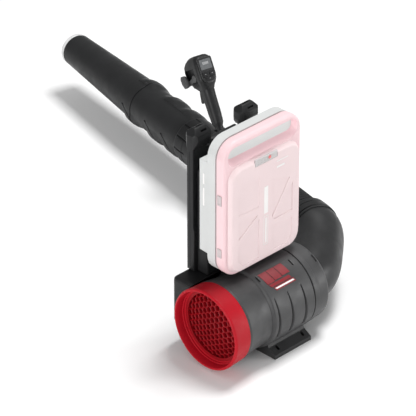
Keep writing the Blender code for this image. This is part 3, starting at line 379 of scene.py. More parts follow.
def rise(low, high, value):
    """0 below low, 1 above high, smooth between; low may be the larger."""
    share = max(0.0, min(1.0, (value - low) / (high - low)))
    return share * share * (3 - 2 * share)


def window(low, high, soft, value):
    return rise(low - soft, low, value) * (1 - rise(high, high + soft, value))


def turn_between(first, second):
    """The smallest turn in degrees from one direction to another."""
    return (second - first + 180) % 360 - 180


# ---- intake
RING_DEPTH = ring_high.x - ring_low.x


def intake_ring():
    """Red ring with a bright rolled rim, four small notches in it and a stepped throat."""
    r = INTAKE_RADIUS
    outer = dense([(0.0, r - 0.0040), (0.0006, r - 0.0022), (0.0018, r - 0.0008), (0.0036, r),
            (0.006, r), (RING_DEPTH - 0.001, r - 0.0022), (RING_DEPTH, r - 0.0032)], 0.0012)
    inner = [(0.0, r - 0.0052), (0.0016, r - 0.0064), (0.0180, r - 0.0074), (0.0186, r - 0.0092),
             (0.0225, r - 0.0096), (0.0230, r - 0.0118), (RING_DEPTH, r - 0.0118)]

    def notches(s, degrees):
        near = min(abs(turn_between(a, degrees)) for a in (46, 134, -134, -46))
        return -0.0012 * (1 - rise(1.1, 1.9, near)) * (1 - rise(0.0020, 0.0034, s))

    ring = turned("intake_ring_fine", FAN_ORIGIN, FAN_AXES, outer, inner, notches, 240)
    return settle(ring, RED, "frame", ["intake_ring"])


def intake_guard():
    """Domed honeycomb: six-sided cells with ridged tops, deeper than they are wide."""
    edge, pitch, wall, depth, crown = 0.0772, 0.0134, 0.0022, 0.0085, 0.0075
    front = 0.0235
    shape = bmesh.new()

    def put(x, y, back):
        bulge = crown * cos(min(1.0, sqrt(x * x + y * y) / edge) * pi / 2)
        return shape.verts.new(FAN_PLACE @ Vector((x, y, front + 0.004 - bulge + back)))

    def outside(x, y):
        return sqrt(x * x + y * y) > edge - pitch * 0.45

    rows = int(edge / (pitch * 0.866)) + 1
    for row in range(-rows, rows + 1):
        for column in range(-8, 9):
            cx = row * pitch * 0.866
            cy = (column + 0.5 * (row % 2)) * pitch
            if outside(cx, cy):
                continue
            corners = [radians(60 * k) for k in range(6)]
            loops = []
            for radius, back in ((pitch / 1.732, 0.0), (pitch / 1.732 - wall * 0.45, 0.0005),
                    (pitch / 1.732 - wall, 0.0022), (pitch / 1.732 - wall * 1.25, depth),
                    (pitch / 1.732, depth)):
                loops.append([put(cx + radius * cos(a), cy + radius * sin(a), back) for a in corners])
            for one, other in zip(loops, loops[1:]):
                for k in range(6):
                    m = (k + 1) % 6
                    shape.faces.new((one[k], one[m], other[m], other[k]))
            for k in range(6):
                m, way = (k + 1) % 6, radians(60 * k + 30)
                if outside(cx + pitch * cos(way), cy + pitch * sin(way)):
                    shape.faces.new((loops[0][k], loops[0][m], loops[-1][m], loops[-1][k]))
    bmesh.ops.remove_doubles(shape, verts=shape.verts, dist=0.00005)
    guard = piece_from("intake_guard_fine", shape)
    # darker red on the guard and its border: painted shade among the cells
    settle(guard, GRILLE_SHADED_RED, "frame", ["intake_guard"], 28)
    collar = turned("guard_border", FAN_ORIGIN, FAN_AXES,
            [(front - 0.0002, edge + 0.0008), (front + 0.010, edge + 0.0008)],
            [(front + 0.0002, edge - 0.0055), (front + 0.010, edge - 0.0055)])
    return settle(collar, GRILLE_SHADED_RED, "frame")


# ---- fan casing
INLET_END, HOUSING_END, COLLAR_NECK = 0.112, 0.232, 0.290
CASING_RADIUS = 0.088


def inlet_duct():
    start = RING_DEPTH + 0.0003
    outer = dense([(start, 0.0868), (start + 0.0025, 0.0868), (start + 0.004, 0.0876),
            (INLET_END - 0.030, 0.0832), (INLET_END - 0.012, 0.0822), (INLET_END, 0.0822)],
            0.004)
    inner = [(start, 0.0785), (INLET_END, 0.072)]
    return settle(turned("inlet_duct_fine", FAN_ORIGIN, FAN_AXES, outer, inner), HOUSING, "frame",
            ["inlet_duct"])


def fan_housing():
    """Main casing: three crescent grooves that open downwards, and a lifting slot at each end."""
    outer = dense([(INLET_END + 0.0003, 0.0816), (INLET_END + 0.0040, CASING_RADIUS - 0.0012),
            (INLET_END + 0.0062, CASING_RADIUS), (HOUSING_END - 0.0022, CASING_RADIUS),
            (HOUSING_END - 0.0006, CASING_RADIUS - 0.0010), (HOUSING_END, CASING_RADIUS - 0.0024)],
            0.0009)
    inner = [(INLET_END + 0.0003, 0.0756), (INLET_END + 0.010, 0.0785), (HOUSING_END - 0.010, 0.0785),
             (HOUSING_END, 0.0756)]

    def grooves(s, degrees):
        carved = 0.0
        for station in (0.1262, 0.1642, 0.2030):
            down = rise(38, -22, degrees) if -60 < degrees < 60 else 0.0
            reach = 1 - rise(30, 38, degrees) if degrees > -28 else 0.0
            width = 0.0016 + 0.0062 * down
            across = rise(station - 0.0008, station + 0.0002, s)
            across *= 1 - rise(station + width * 0.4, station + width * 1.2, s)
            carved = max(carved, across * reach * (0.0034 + 0.0042 * down))
        for station, middle in ((0.1195, 69), (0.2145, 68)):
            length = 1 - rise(4.2, 5.2, abs(turn_between(middle, degrees)))
            slot = window(station - 0.0011, station + 0.0011, 0.0008, s)
            carved = max(carved, 0.0042 * length * slot)
        return -carved

    housing = turned("fan_housing_fine", FAN_ORIGIN, FAN_AXES, outer, inner, grooves, 300)
    return settle(housing, HOUSING, "frame", ["fan_housing"])


def clamp_collar():
    """Clamp over the elbow's root: a shallow band, a chamfered shoulder and a clip slot."""
    r = 0.0872
    outer = dense([(HOUSING_END + 0.0004, r - 0.0045), (HOUSING_END + 0.0012, r - 0.0030),
            (HOUSING_END + 0.0030, r), (HOUSING_END + 0.0140, r), (HOUSING_END + 0.0150, r - 0.0011),
            (HOUSING_END + 0.0400, r - 0.0020), (HOUSING_END + 0.0440, r - 0.0042),
            (HOUSING_END + 0.0560, 0.0690), (COLLAR_NECK - 0.001, 0.0668), (COLLAR_NECK, 0.0655)],
            0.0012)
    inner = [(HOUSING_END + 0.0004, 0.0722), (HOUSING_END + 0.0120, 0.0722),
             (HOUSING_END + 0.0400, 0.0632), (COLLAR_NECK, 0.0632)]

    def clip_slot(s, degrees):
        along = 1 - rise(6.0, 7.2, abs(turn_between(58, degrees)))
        return -0.0040 * along * window(0.2690, 0.2725, 0.0008, s)

    collar = turned("clamp_collar_fine", FAN_ORIGIN, FAN_AXES, outer, inner, clip_slot, 240)
    return settle(collar, HOUSING, "frame", ["clamp_collar"])


def badge():
    """A blank red plate on the housing, broken into slanted fields, over a plain white bar."""
    shape = bmesh.new()
    fields = [(0.128, 0.149, 55.0, 74.0), (0.1505, 0.171, 56.0, 74.0), (0.1725, 0.194, 57.0, 74.0),
              (0.133, 0.190, 49.5, 54.0)]

    def patch(field, lift, thickness):
        s0, s1, a0, a1 = field
        steps = 8
        layers = []
        for radius in (CASING_RADIUS + lift, CASING_RADIUS + lift + thickness):
            layer = []
            for i in range(steps + 1):
                angle = radians(a0 + (a1 - a0) * i / steps)
                across, up = radius * cos(angle), radius * sin(angle)
                lean = 0.0035 * (i / steps - 0.5)
                layer.append([shape.verts.new(FAN_PLACE @ Vector((across, up, s - lean)))
                              for s in (s0, s1)])
            layers.append(layer)
        under, over = layers
        for i in range(steps):
            for layer in layers:
                shape.faces.new((layer[i][0], layer[i][1], layer[i + 1][1], layer[i + 1][0]))
            for j in (0, 1):
                shape.faces.new((under[i][j], under[i + 1][j], over[i + 1][j], over[i][j]))
        for i in (0, steps):
            shape.faces.new((under[i][0], under[i][1], over[i][1], over[i][0]))

    for field in fields:
        patch(field, 0.0004, 0.0005)
    plate = settle(piece_from("badge_fields", shape), BADGE, "frame", ["badge_plate"])
    shape = bmesh.new()
    patch((0.140, 0.196, 43.0, 48.5), 0.0002, 0.0003)
    backing = settle(piece_from("badge_bar_backing", shape), BADGE, "frame")
    shape = bmesh.new()
    patch((0.1425, 0.1935, 44.6, 46.9), 0.0006, 0.0003)
    bar = settle(piece_from("badge_bar", shape), WHITE, "frame")
    return plate, backing, bar


# ---- elbow and hose
HOSE_START, HOSE_END, HOSE_SECTIONS = 0.012, 0.262, 3
RIBS = 9


def elbow():
    """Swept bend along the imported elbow's route, a little slimmer through the middle of the turn."""
    along_fan = FAN_AXES[2]
    reach, wall, count, around = 0.045, 0.003, 56, 128
    straight, radius = 0.022, 0.0605             # straight length before the mouth; outer radius
    draw_in, slimmer = 0.0055, 0.0040            # how far the bend's middle moves in, and thins
    start, finish = FAN_ORIGIN + along_fan * COLLAR_NECK, MOUTH - TUBE_WAY * straight
    corners = (start, start + along_fan * reach, finish - TUBE_WAY * reach, finish)
    inward = (TUBE_WAY - along_fan).normalized()
    rings = [(start - along_fan * 0.0335, along_fan, radius - 0.0015),
             (start - along_fan * 0.012, along_fan, radius - 0.0005)]
    for step in range(count + 1):
        share = step / count
        rest = 1 - share
        weights = (rest ** 3, 3 * rest * rest * share, 3 * rest * share * share, share ** 3)
        place = sum((corner * weight for corner, weight in zip(corners, weights)), Vector())
        slopes = (rest * rest, 2 * rest * share, share * share)
        way = sum(((later - former) * slope for former, later, slope in
                   zip(corners, corners[1:], slopes)), Vector()).normalized()
        squeeze = sin(pi * share ** 1.2) ** 2
        rings.append((place + inward * draw_in * squeeze, way, radius - slimmer * squeeze))
    rings.append((MOUTH, TUBE_WAY, radius))
    loops = []
    for inside in (False, True):
        for place, way, outside in (reversed(rings) if inside else rings):
            side = way.cross(Vector((0, 0, 1))).normalized()
            r = outside - wall if inside else outside
            loops.append([place + side * (r * cos(2 * pi * i / around)) + Vector((0, 0, 1)) * (
                r * sin(2 * pi * i / around)) for i in range(around)])
    shape = bmesh.new()
    rows = [[shape.verts.new(point) for point in loop] for loop in loops]
    for one, other in zip(rows, rows[1:] + rows[:1]):
        for i in range(around):
            j = (i + 1) % around
            shape.faces.new((one[i], one[j], other[j], other[i]))
    # the elbow's lighter grey is painted light for its lit side
    return settle(piece_from("elbow_fine", shape), ELBOW_LIT_GREY, "frame", ["elbow"])


def elbow_cuff():
    outer = dense([(-0.0260, 0.0614), (-0.0254, 0.0632), (-0.0220, 0.0636), (-0.0212, 0.0616),
            (-0.0190, 0.0616), (-0.0182, 0.0640), (-0.0050, 0.0644), (-0.0042, 0.0622),
            (-0.0018, 0.0622), (-0.0010, 0.0642), (0.0090, 0.0642), (0.0112, 0.0628),
            (0.0117, 0.0600)], 0.0008)
    inner = [(-0.0260, 0.0608), (0.0011, 0.0608), (0.0012, 0.0510), (0.0117, 0.0510)]

    def tab(s, degrees):
        beside = rise(5.0, 6.0, abs(turn_between(183, degrees)))
        return 0.0045 * window(-0.0250, -0.0140, 0.0010, s) * (1 - beside)

    cuff = turned("elbow_cuff_fine", MOUTH, TUBE_AXES, outer, inner, tab, 216)
    return settle(cuff, CHARCOAL, "frame", ["elbow_cuff"])


def hose():
    """Corrugated hose in three straight stretches: the middle one moves with the hose, the outer two stay
    where they are built.
    """
    length = (HOSE_END - HOSE_START) / HOSE_SECTIONS
    names = ("hose_rear", "hose_middle", "hose_front")
    for number, name in enumerate(names):
        start = HOSE_START + number * length
        count = RIBS * 10
        outer = []
        inner = []
        for i in range(count + 1):
            share = i / count
            wave = abs(sin(pi * RIBS * share)) ** 0.7
            station = start + length * share
            outer.append((station, 0.0532 + 0.0050 * wave))
            inner.append((station, 0.0512 + 0.0038 * wave))
        piece = turned(name + "_fine", MOUTH, TUBE_AXES, outer, inner, None, 144)
        if name == "hose_middle":
            settle(piece, RUBBER, "hose", [name])
            continue
        settle(piece, RUBBER, None, [name])
        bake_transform(piece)


def hose_collar():
    low = HOSE_END + 0.0003
    outer = dense([(low, 0.0560), (low + 0.0020, 0.0580), (low + 0.0050, 0.0586),
            (low + 0.0090, 0.0586), (low + 0.0100, 0.0576), (low + 0.0120, 0.0576),
            (low + 0.0130, 0.0586), (low + 0.0210, 0.0584), (low + 0.0250, 0.0562),
            (low + 0.0257, 0.0550)], 0.0008)
    inner = [(low, 0.0505), (low + 0.0257, 0.0505)]
    return settle(turned("hose_collar_fine", MOUTH, TUBE_AXES, outer, inner), CHARCOAL, "hose_end",
            ["hose_collar"])


# ---- sleeve, tube and nozzle
SLEEVE_END, OUTLET = 0.440, 0.944
TUBE_RADIUS, OUTLET_RADIUS = 0.049, 0.0375
HOOKS = (0.656, 0.561, 0.494)


def tube_relief(s, degrees):
    """Bayonet swellings on two opposite sides, each behind a hooked groove, and a rib along the top."""
    change = 0.0
    for base in (0, 180):
        local = turn_between(base, degrees)
        swelling = window(-78, -30, 24, local)
        for hook in HOOKS:
            change += 0.0052 * swelling * rise(hook + 0.010, hook - 0.016, s) * rise(
                hook - 0.064, hook - 0.034, s)
            if -60 < local <= 3.5:
                line = hook - 0.034 * ((3.5 - local) / 28) ** 1.5
                change -= 0.0027 * (1 - rise(0.0011, 0.0022, abs(s - line))) * rise(-60, -50, local)
            start = window(hook - 0.0005, hook + 0.0045, 0.0008, s)
            change -= 0.0027 * start * (1 - rise(1.4, 2.4, abs(local - 3.5)))
    for low, high in ((0.467, 0.553), (0.633, 0.660)):
        on_top = 1 - rise(2.6, 3.6, abs(turn_between(89, degrees)))
        change += 0.0021 * on_top * window(low, high, 0.0015, s)
    return change


def sleeve_relief(s, degrees):
    """Grip grooves along the sleeve's front end, a step at its edge and a small slot on top."""
    change = 0.0
    for middle in range(-168, 180, 32):
        line = 1 - rise(0.9, 1.9, abs(turn_between(middle + 8, degrees)))
        change = min(change, -0.0024 * line * window(0.398, 0.4362, 0.001, s))
    raised = window(-56, 28, 1.5, degrees)
    change += 0.0010 * raised * window(0.408, 0.430, 0.0012, s)
    return change


def swivel_sleeve():
    start = HOSE_END + 0.027
    outer = dense([(start, 0.0530), (start + 0.070, 0.0530), (start + 0.072, 0.0530),
            (SLEEVE_END - 0.004, 0.0524), (SLEEVE_END - 0.001, 0.0519), (SLEEVE_END, 0.0510)],
            0.0012)
    inner = [(start, 0.0465), (SLEEVE_END - 0.030, 0.0465), (SLEEVE_END - 0.0299, 0.0493),
             (SLEEVE_END, 0.0493)]
    sleeve = turned("swivel_sleeve_fine", MOUTH, TUBE_AXES, outer, inner, sleeve_relief, 300)
    return settle(sleeve, CHARCOAL, "tube", ["swivel_sleeve"])


def tube_main():
    start, end = SLEEVE_END - 0.029, SEAM - 0.0003
    outer = dense([(start, TUBE_RADIUS), (SLEEVE_END, TUBE_RADIUS),
            (end - 0.0016, TUBE_RADIUS - 0.0002), (end - 0.0009, TUBE_RADIUS - 0.0022),
            (end, TUBE_RADIUS - 0.0024)], 0.0010)
    inner = [(start, TUBE_RADIUS - 0.003), (end, TUBE_RADIUS - 0.003)]
    tube = turned("tube_main_fine", MOUTH, TUBE_AXES, outer, inner, tube_relief, 300)
    return settle(tube, CHARCOAL, "tube", ["tube_main"])


def nozzle():
    start, end = SEAM, OUTLET - 0.010
    outer = dense([(start, TUBE_RADIUS - 0.0024), (start + 0.0006, TUBE_RADIUS - 0.0022),
            (start + 0.0016, TUBE_RADIUS + 0.0004), (start + 0.040, TUBE_RADIUS - 0.0006)], 0.0010)
    outer += dense([(start + 0.040, TUBE_RADIUS - 0.0006), (end - 0.0010, OUTLET_RADIUS),
            (end, OUTLET_RADIUS - 0.0008)], 0.004)[1:]
    inner = [(start, TUBE_RADIUS - 0.003), (start + 0.040, TUBE_RADIUS - 0.0036),
             (end, OUTLET_RADIUS - 0.003)]
    tube = turned("nozzle_fine", MOUTH, TUBE_AXES, outer, inner, tube_relief, 300)
    settle(tube, CHARCOAL, "nozzle", ["nozzle_tube"])
    r = OUTLET_RADIUS
    low = end + 0.0003
    outer = [(low, r - 0.0004), (low + 0.0008, r + 0.0002), (OUTLET - 0.0022, r),
             (OUTLET - 0.0008, r - 0.0006), (OUTLET, r - 0.0018)]
    inner = [(low, r - 0.003), (OUTLET - 0.001, r - 0.0042), (OUTLET, r - 0.0036)]
    return settle(turned("outlet_ring_fine", MOUTH, TUBE_AXES, outer, inner), PALE_RING, "nozzle",
            ["nozzle_ring"])


# ---- lofted shapes
def lofted(name, loops, place=None):
    """A closed skin over outlines of equal count, with its two ends filled."""
    shape = bmesh.new()
    rows = [[shape.verts.new(point) for point in loop] for loop in loops]
    for one, other in zip(rows, rows[1:]):
        for i in range(len(one)):
            j = (i + 1) % len(one)
            shape.faces.new((one[i], one[j], other[j], other[i]))
    shape.faces.new(rows[0])
    shape.faces.new(rows[-1])
    return piece_from(name, shape, place)


def oval_section(height, half_width, front, back, corner, steps=8):
    """A rounded rectangle across X, from front to back along Y, at one height."""
    outline = rounded_outline(2 * half_width, back - front, corner, (0, (front + back) / 2), steps)
    return [(x, y, height) for x, y in outline]


def paint(piece, material, chosen):
    """Give the faces whose centre and normal are chosen a second material."""
    mesh = piece.data
    mesh.materials.append(material)
    index = len(mesh.materials) - 1
    for face in mesh.polygons:
        if chosen(face.center, face.normal):
            face.material_index = index
    return piece


# ---- battery
COVER_LOW, COVER_HIGH = box_corners("battery_cover")
BATTERY_X = (COVER_LOW.x + COVER_HIGH.x) / 2
BATTERY_MIDDLE = (BATTERY_X, (COVER_LOW.z + COVER_HIGH.z) / 2)
BATTERY_SIZE = (COVER_HIGH.x - COVER_LOW.x, COVER_HIGH.z - COVER_LOW.z)
COVER_BACK = COVER_HIGH.y
PANEL_FRONT = COVER_LOW.y
COVER_FRONT = PANEL_FRONT + 0.010
PANEL_TOP = 0.446
FACING = Matrix.Rotation(radians(90), 4, "X")      # front views: local X, world Z, and -Y
SLOT_FLOOR = 0.0065
BUTTON = Vector((BATTERY_X + 0.0095, PANEL_FRONT, 0.4365))
# each key's name, its place on the face (across, up) and half its width and height
KEY_PLACES = (("key_left", -0.0085, 0.0240, 0.0063, 0.0048),
        ("key_right", 0.0085, 0.0240, 0.0063, 0.0048),
        ("key_wide", 0.0, 0.0135, 0.0105, 0.0036))


def battery_outline(inset=0.0):
    return rounded_outline(BATTERY_SIZE[0] - 2 * inset, BATTERY_SIZE[1] - 2 * inset, 0.040 - inset,
            BATTERY_MIDDLE, 14)


def raised(name, outline, low, high, slope, place):
    """A flat-topped shape whose sides lean in by the given slope."""
    cx = sum(p[0] for p in outline) / len(outline)
    cy = sum(p[1] for p in outline) / len(outline)
    reach = max(max(abs(p[0] - cx), abs(p[1] - cy)) for p in outline)
    share = 1 - slope / reach
    return lofted(name, [[(x, y, low) for x, y in outline],
            [(cx + (x - cx) * share, cy + (y - cy) * share, high) for x, y in outline]],
            place)


def brace_pockets():
    """Pocket outlines on the raised panel: two columns, each crossed by a slanted brace."""
    low, high, middle = 0.212, 0.402, BATTERY_X
    inner, outer = 0.018, 0.078
    left, right = middle - outer, middle - inner
    yield [(left, 0.333), (right, 0.330), (right, high), (left + 0.014, high - 0.004),
           (left, high - 0.02)]
    yield [(left, 0.322), (left, 0.276), (right - 0.004, 0.314)]
    yield [(left, low + 0.015), (left + 0.012, low), (right, low), (right, 0.305), (left, 0.264)]
    left, right = middle + inner, middle + outer
    yield [(left, high - 0.020), (left, 0.290), (right - 0.008, 0.366)]
    yield [(left + 0.004, 0.284), (right, 0.284), (right, 0.352)]
    yield [(left, low), (right - 0.012, low), (right, low + 0.015), (right, 0.270), (left, 0.273)]


def battery_cover():
    """Front cover: finger slot with a sloping lower lip, raised panel and shallow braced pockets; the
    slot's floor, roof and ends carry a deeper pink as painted shade.
    """
    cover = slab("battery_cover_fine", battery_outline(), -COVER_BACK, -COVER_FRONT, FACING)
    rounded_off(cover, 0.0065, 5, 60)
    low = COVER_LOW.z + 0.004
    panel = raised("panel", rounded_outline(0.203, PANEL_TOP - low, 0.030,
            (BATTERY_X, (PANEL_TOP + low) / 2), 14),
            0.0, -PANEL_FRONT, 0.0075, FACING)
    rounded_off(panel, 0.0022, 3, 30)
    carve(cover, panel, "UNION")
    wide = rounded_outline(0.197, 0.041, 0.0185, (BATTERY_X, 0.4690), 12)
    floor_line = rounded_outline(0.184, 0.0285, 0.0135, (BATTERY_X, 0.4745), 12)
    beyond = [(BATTERY_X + (x - BATTERY_X) * 1.03, z + (z - 0.469) * 0.2) for x, z in wide]
    slot = lofted("slot", [[(x, z, -SLOT_FLOOR) for x, z in floor_line],
            [(x, z, -COVER_FRONT - 0.0004) for x, z in wide],
            [(x, z, -COVER_FRONT + 0.02) for x, z in beyond]], FACING)
    carve(cover, slot)
    seat = brick("indicator_seat", (BATTERY_X - 0.0325, -0.05, 0.4285),
            (BATTERY_X + 0.0325, PANEL_FRONT + 0.004, 0.4445))
    carve(cover, seat)
    for number, outline in enumerate(brace_pockets()):
        carve(cover, raised(f"pocket_{number}", outline, -PANEL_FRONT + 0.001, -PANEL_FRONT - 0.0017,
                0.0028, FACING))
    settle(cover, PINK, "battery", ["battery_cover"], 30)

    def in_slot(centre):
        return (0.4485 < centre.z < 0.4895 and abs(centre.x - BATTERY_X) < 0.0985
                and COVER_FRONT + 0.0006 < centre.y < COVER_BACK - 0.002)

    paint(cover, BLUSH, lambda centre, normal: centre.y < COVER_FRONT - 0.0015)
    paint(cover, MIST, lambda centre, normal: in_slot(centre) and normal.y < -0.9)
    # painted shade: the slot's faces other than its back wall get the deeper pink
    paint(cover, SLOT_SHADE_PINK, lambda centre, normal: in_slot(centre) and normal.y >= -0.9)
    return cover


def printed_marks():
    """Plain white marks where the machine carries its lettering: a bar, a framed bar and side ticks."""
    face = PANEL_FRONT - 0.0003
    marks = []

    def mark(low, high):
        marks.append(brick("printed_mark", low, high))

    mark((BATTERY_X - 0.0055, face, 0.310), (BATTERY_X + 0.0055, face + 0.001, 0.372))
    for low, high in (((-0.0062, 0.236), (-0.0050, 0.304)), ((0.0050, 0.236), (0.0062, 0.304)),
            ((-0.0062, 0.236), (0.0062, 0.2372)), ((-0.0062, 0.3028), (0.0062, 0.304)),
            ((-0.0018, 0.241), (0.0018, 0.299))):
        mark((BATTERY_X + low[0], face, low[1]), (BATTERY_X + high[0], face + 0.001, high[1]))
    mark((BATTERY_X + 0.030, face, 0.4165), (BATTERY_X + 0.062, face + 0.001, 0.4182))
    mark((BATTERY_X + 0.030, face, 0.4020), (BATTERY_X + 0.052, face + 0.001, 0.4060))
    side_low = box_corners("battery_rear_shell")[0]
    for low, high in ((0.395, 0.419), (0.345, 0.386)):
        mark((side_low.x - 0.0003, side_low.y + 0.0085, low),
             (side_low.x + 0.0005, side_low.y + 0.0125, high))
    return [settle(piece, WHITE, "battery") for piece in marks]


def battery_clips():
    """Recessed-looking clip plates, in the cover's own paler plastic."""
    for side, sign in (("left", -1), ("right", 1)):
        for level in ("high", "low"):
            node = f"battery_clip_{side}_{level}"
            low, high = box_corners(node)
            plate = brick(node + "_fine", low, high)
            outside, depth = (low.x, high.x)[sign > 0], 0.0009
            faces = sorted((outside - sign * depth, outside + sign * 0.01))
            lip = brick("clip_cut", (faces[0], low.y + 0.0022, low.z + 0.0030),
                        (faces[1], high.y - 0.0022, high.z - 0.0060))
            carve(plate, lip)
            rounded_off(plate, 0.0004, 2)
            settle(plate, CLIP, "battery", [node])


def battery_indicator():
    """Indicator strip with four dark lamps beside its button."""
    low, high = box_corners("indicator_panel")
    strip = brick("indicator_fine", low, high)
    hole = slab("button_hole", circle(0.0040), -0.02, 0.02, Matrix.Translation(BUTTON) @ FACING)
    carve(strip, hole)
    for number in range(4):
        x = low.x + 0.007 + number * 0.0078
        carve(strip, brick("lamp_seat", (x, low.y - 0.01, 0.4325),
                (x + 0.0048, low.y + 0.0006, 0.4405)))
    rounded_off(strip, 0.0005, 2)
    settle(strip, LAMP_STRIP, "battery", ["indicator_panel"])
    radius = 0.0034
    profile = [(radius, -0.0027), (radius, 0.0006), (radius * 0.85, 0.0012)]
    dome = [[(x, y, z) for x, y in circle(r, 32)] for r, z in profile]
    cap = lofted("indicator_button_fine", dome, Matrix.Translation(BUTTON) @ FACING)
    settle(cap, GLOW_RED, "battery_button", ["indicator_button"])


# ---- carrying frame
POST_VIEW = placed(Vector((0, 0, 0)), (Vector((0, 1, 0)), Vector((0, 0, 1)), Vector((1, 0, 0))))


def frame_post(name):
    """Upright with a faceted strap head and two webbing slots, the front one on a sloping face."""
    low, high = box_corners(name)
    middle, half = (low.x + high.x) / 2, (high.x - low.x) / 2
    inner = -1 if middle > BATTERY_X else 1
    profile = [(0.097, low.z), (0.118, low.z), (0.118, 0.470), (0.100, 0.470), (0.100, 0.262),
               (0.097, 0.256)]
    post = slab(name + "_fine", profile, middle - half, middle + half, POST_VIEW)
    edges = sorted((middle + inner * 0.0155, middle + inner * 0.05))
    carve(post, brick("inner_neck", (edges[0], 0.08, 0.440), (edges[1], 0.13, 0.52)))
    rounded_off(post, 0.0022, 3, 25)
    head_profile = [(0.1190, 0.4450), (0.1265, 0.4560), (0.1268, 0.4690), (0.1215, 0.4820),
            (0.1130, 0.4885), (0.1050, 0.4885), (0.0925, 0.4760), (0.0912, 0.4640),
            (0.0990, 0.4460)]
    ends = sorted((middle + inner * 0.0245, middle - inner * 0.0258))
    strap_head = slab("strap_head", head_profile, *ends, POST_VIEW)
    for sign, side in zip((-1, 1), ends):
        edge, beyond = side + sign * 0.0005, side + sign * 0.02
        for near, far in ((0.085, 0.1010), (0.133, 0.1170)):
            carve(strap_head, slab("head_corner", [(beyond, near), (side - sign * 0.0125, near),
                    (edge, far), (beyond, far)], 0.42, 0.52))
        carve(strap_head, slab("head_shoulder", [(beyond, 0.500), (side - sign * 0.0190, 0.500),
                (edge, 0.4745), (beyond, 0.4745)], -0.14, -0.08, FACING))
        if sign == inner:
            carve(strap_head, slab("head_under", [(beyond, 0.430), (side - sign * 0.0120, 0.430),
                    (edge, 0.4600), (beyond, 0.4600)], -0.14, -0.08, FACING))
    rounded_off(strap_head, 0.0022, 3, 20)
    carve(post, strap_head, "UNION")
    for dx, y, depth in ((0.0, 0.1105, 0.468), (0.003, 0.0985, 0.464)):
        carve(post, brick("webbing_slot", (middle + dx - 0.0080, y - 0.0016, depth),
                (middle + dx + 0.0080, y + 0.0016, 0.52)))
    groove = brick("post_seam", (middle - half - 0.01, 0.1080, 0.170),
            (middle - half + 0.0009, 0.1090, 0.440))
    carve(post, groove)
    return settle(post, CHARCOAL, "frame", [name], 30)


def frame_crossbar():
    low, high = box_corners("frame_crossbar")
    drop = Vector((0, 0, 0.0115))
    bar = brick("frame_crossbar_fine", low - drop + Vector((-0.001, 0, 0)),
                high - drop + Vector((0.001, 0, 0)))
    rounded_off(bar, 0.004, 4)
    return settle(bar, CHARCOAL, "frame", ["frame_crossbar"])


# ---- control handle
def handle_stalk():
    """Oval grip that swells towards the head, on a flat foot with the pivot's eye."""
    sections = [(0.010, 0.0079, 0.0075, 0.0070), (0.0170, 0.0080, 0.0088, 0.0078),
                (0.026, 0.0120, 0.0125, 0.0115), (0.045, 0.0130, 0.0142, 0.0125),
                (0.080, 0.0132, 0.0150, 0.0128), (0.098, 0.0138, 0.0158, 0.0132),
                (0.112, 0.0145, 0.0165, 0.0138)]
    loops = []
    for first, second in zip(sections, sections[1:]):
        for step in range(6):
            share = step / 6
            z, half, deep, corner = (a + (b - a) * share for a, b in zip(first, second))
            loops.append(oval_section(z, half, -deep, deep * 1.05, corner * 0.93, 8))
    stalk = lofted("handle_stalk_fine", loops)
    foot = brick("stalk_foot", (-0.0080, -0.0070, -0.0065), (0.0080, 0.0070, 0.020))
    rounded_off(foot, 0.003, 3)
    carve(stalk, foot, "UNION")
    hole = slab("foot_hole", circle(0.0031, 32), -0.03, 0.03, Matrix.Rotation(radians(90), 4, "Y"))
    carve(stalk, hole)
    carve(stalk, brick("trigger_throat", (-0.0062, 0.0035, 0.068), (0.0062, 0.030, 0.120)))
    stalk.data.transform(HANDLE_PLACE)
    return settle(stalk, CHARCOAL, "handle", ["handle_stalk"], 40)


def control_head():
    """Rounded head that narrows into the grip, with a side bay for the cruise lever."""
    sections = [(-0.008, 0.0146, -0.0166, 0.0190, 0.0125), (-0.002, 0.0160, -0.0185, 0.0260, 0.012),
                (0.004, 0.0190, -0.0212, 0.0335, 0.011), (0.012, 0.0216, -0.0230, 0.0380, 0.0095),
                (0.024, 0.0228, -0.0238, 0.0400, 0.009), (0.038, 0.0228, -0.0238, 0.0412, 0.009),
                (0.050, 0.0224, -0.0238, 0.0395, 0.010), (0.058, 0.0212, -0.0232, 0.0320, 0.011),
                (0.0635, 0.0188, -0.0215, 0.0240, 0.0115), (0.0672, 0.0150, -0.0175, 0.0160, 0.0105),
                (0.0684, 0.0100, -0.0120, 0.0080, 0.0070)]
    loops = []
    for first, second in zip(sections, sections[1:]):
        for step in range(5):
            loops.append(oval_section(*(a + (b - a) * step / 5 for a, b in zip(first, second)), 8))
    loops.append(oval_section(*sections[-1], 8))
    head = lofted("control_head_fine", loops)
    carve(head, brick("face_seat", (-0.0182, -0.04, 0.004), (0.0182, -0.0225, 0.0620)))
    carve(head, brick("lever_bay", (-0.035, -0.0065, 0.0030), (-0.0140, 0.0364, 0.0430)))
    carve(head, brick("trigger_gap", (-0.0062, 0.0035, -0.02), (0.0062, 0.0450, 0.002)))
    head.data.transform(HEAD_PLACE)
    return settle(head, CHARCOAL, "handle", ["control_head"], 38)


def face_outline(inset=0.0):
    """The face's outline in X and height: square shoulders and a round, narrower chin."""
    top, side, chin = 0.0615 - inset, 0.0180 - inset, 0.0046 + inset
    points = [(side - 0.005 + 0.005 * cos(radians(a)), top - 0.005 + 0.005 * sin(radians(a)))
              for a in range(0, 91, 15)]
    points += [(-x, z) for x, z in reversed(points)]
    points += [(-side, 0.022), (-side + 0.001, 0.0165), (-side + 0.0045, 0.0100),
               (-0.0085, chin + 0.0015), (-0.004, chin), (0.004, chin), (0.0085, chin + 0.0015),
               (side - 0.0045, 0.0100), (side - 0.001, 0.0165), (side, 0.022)]
    return points


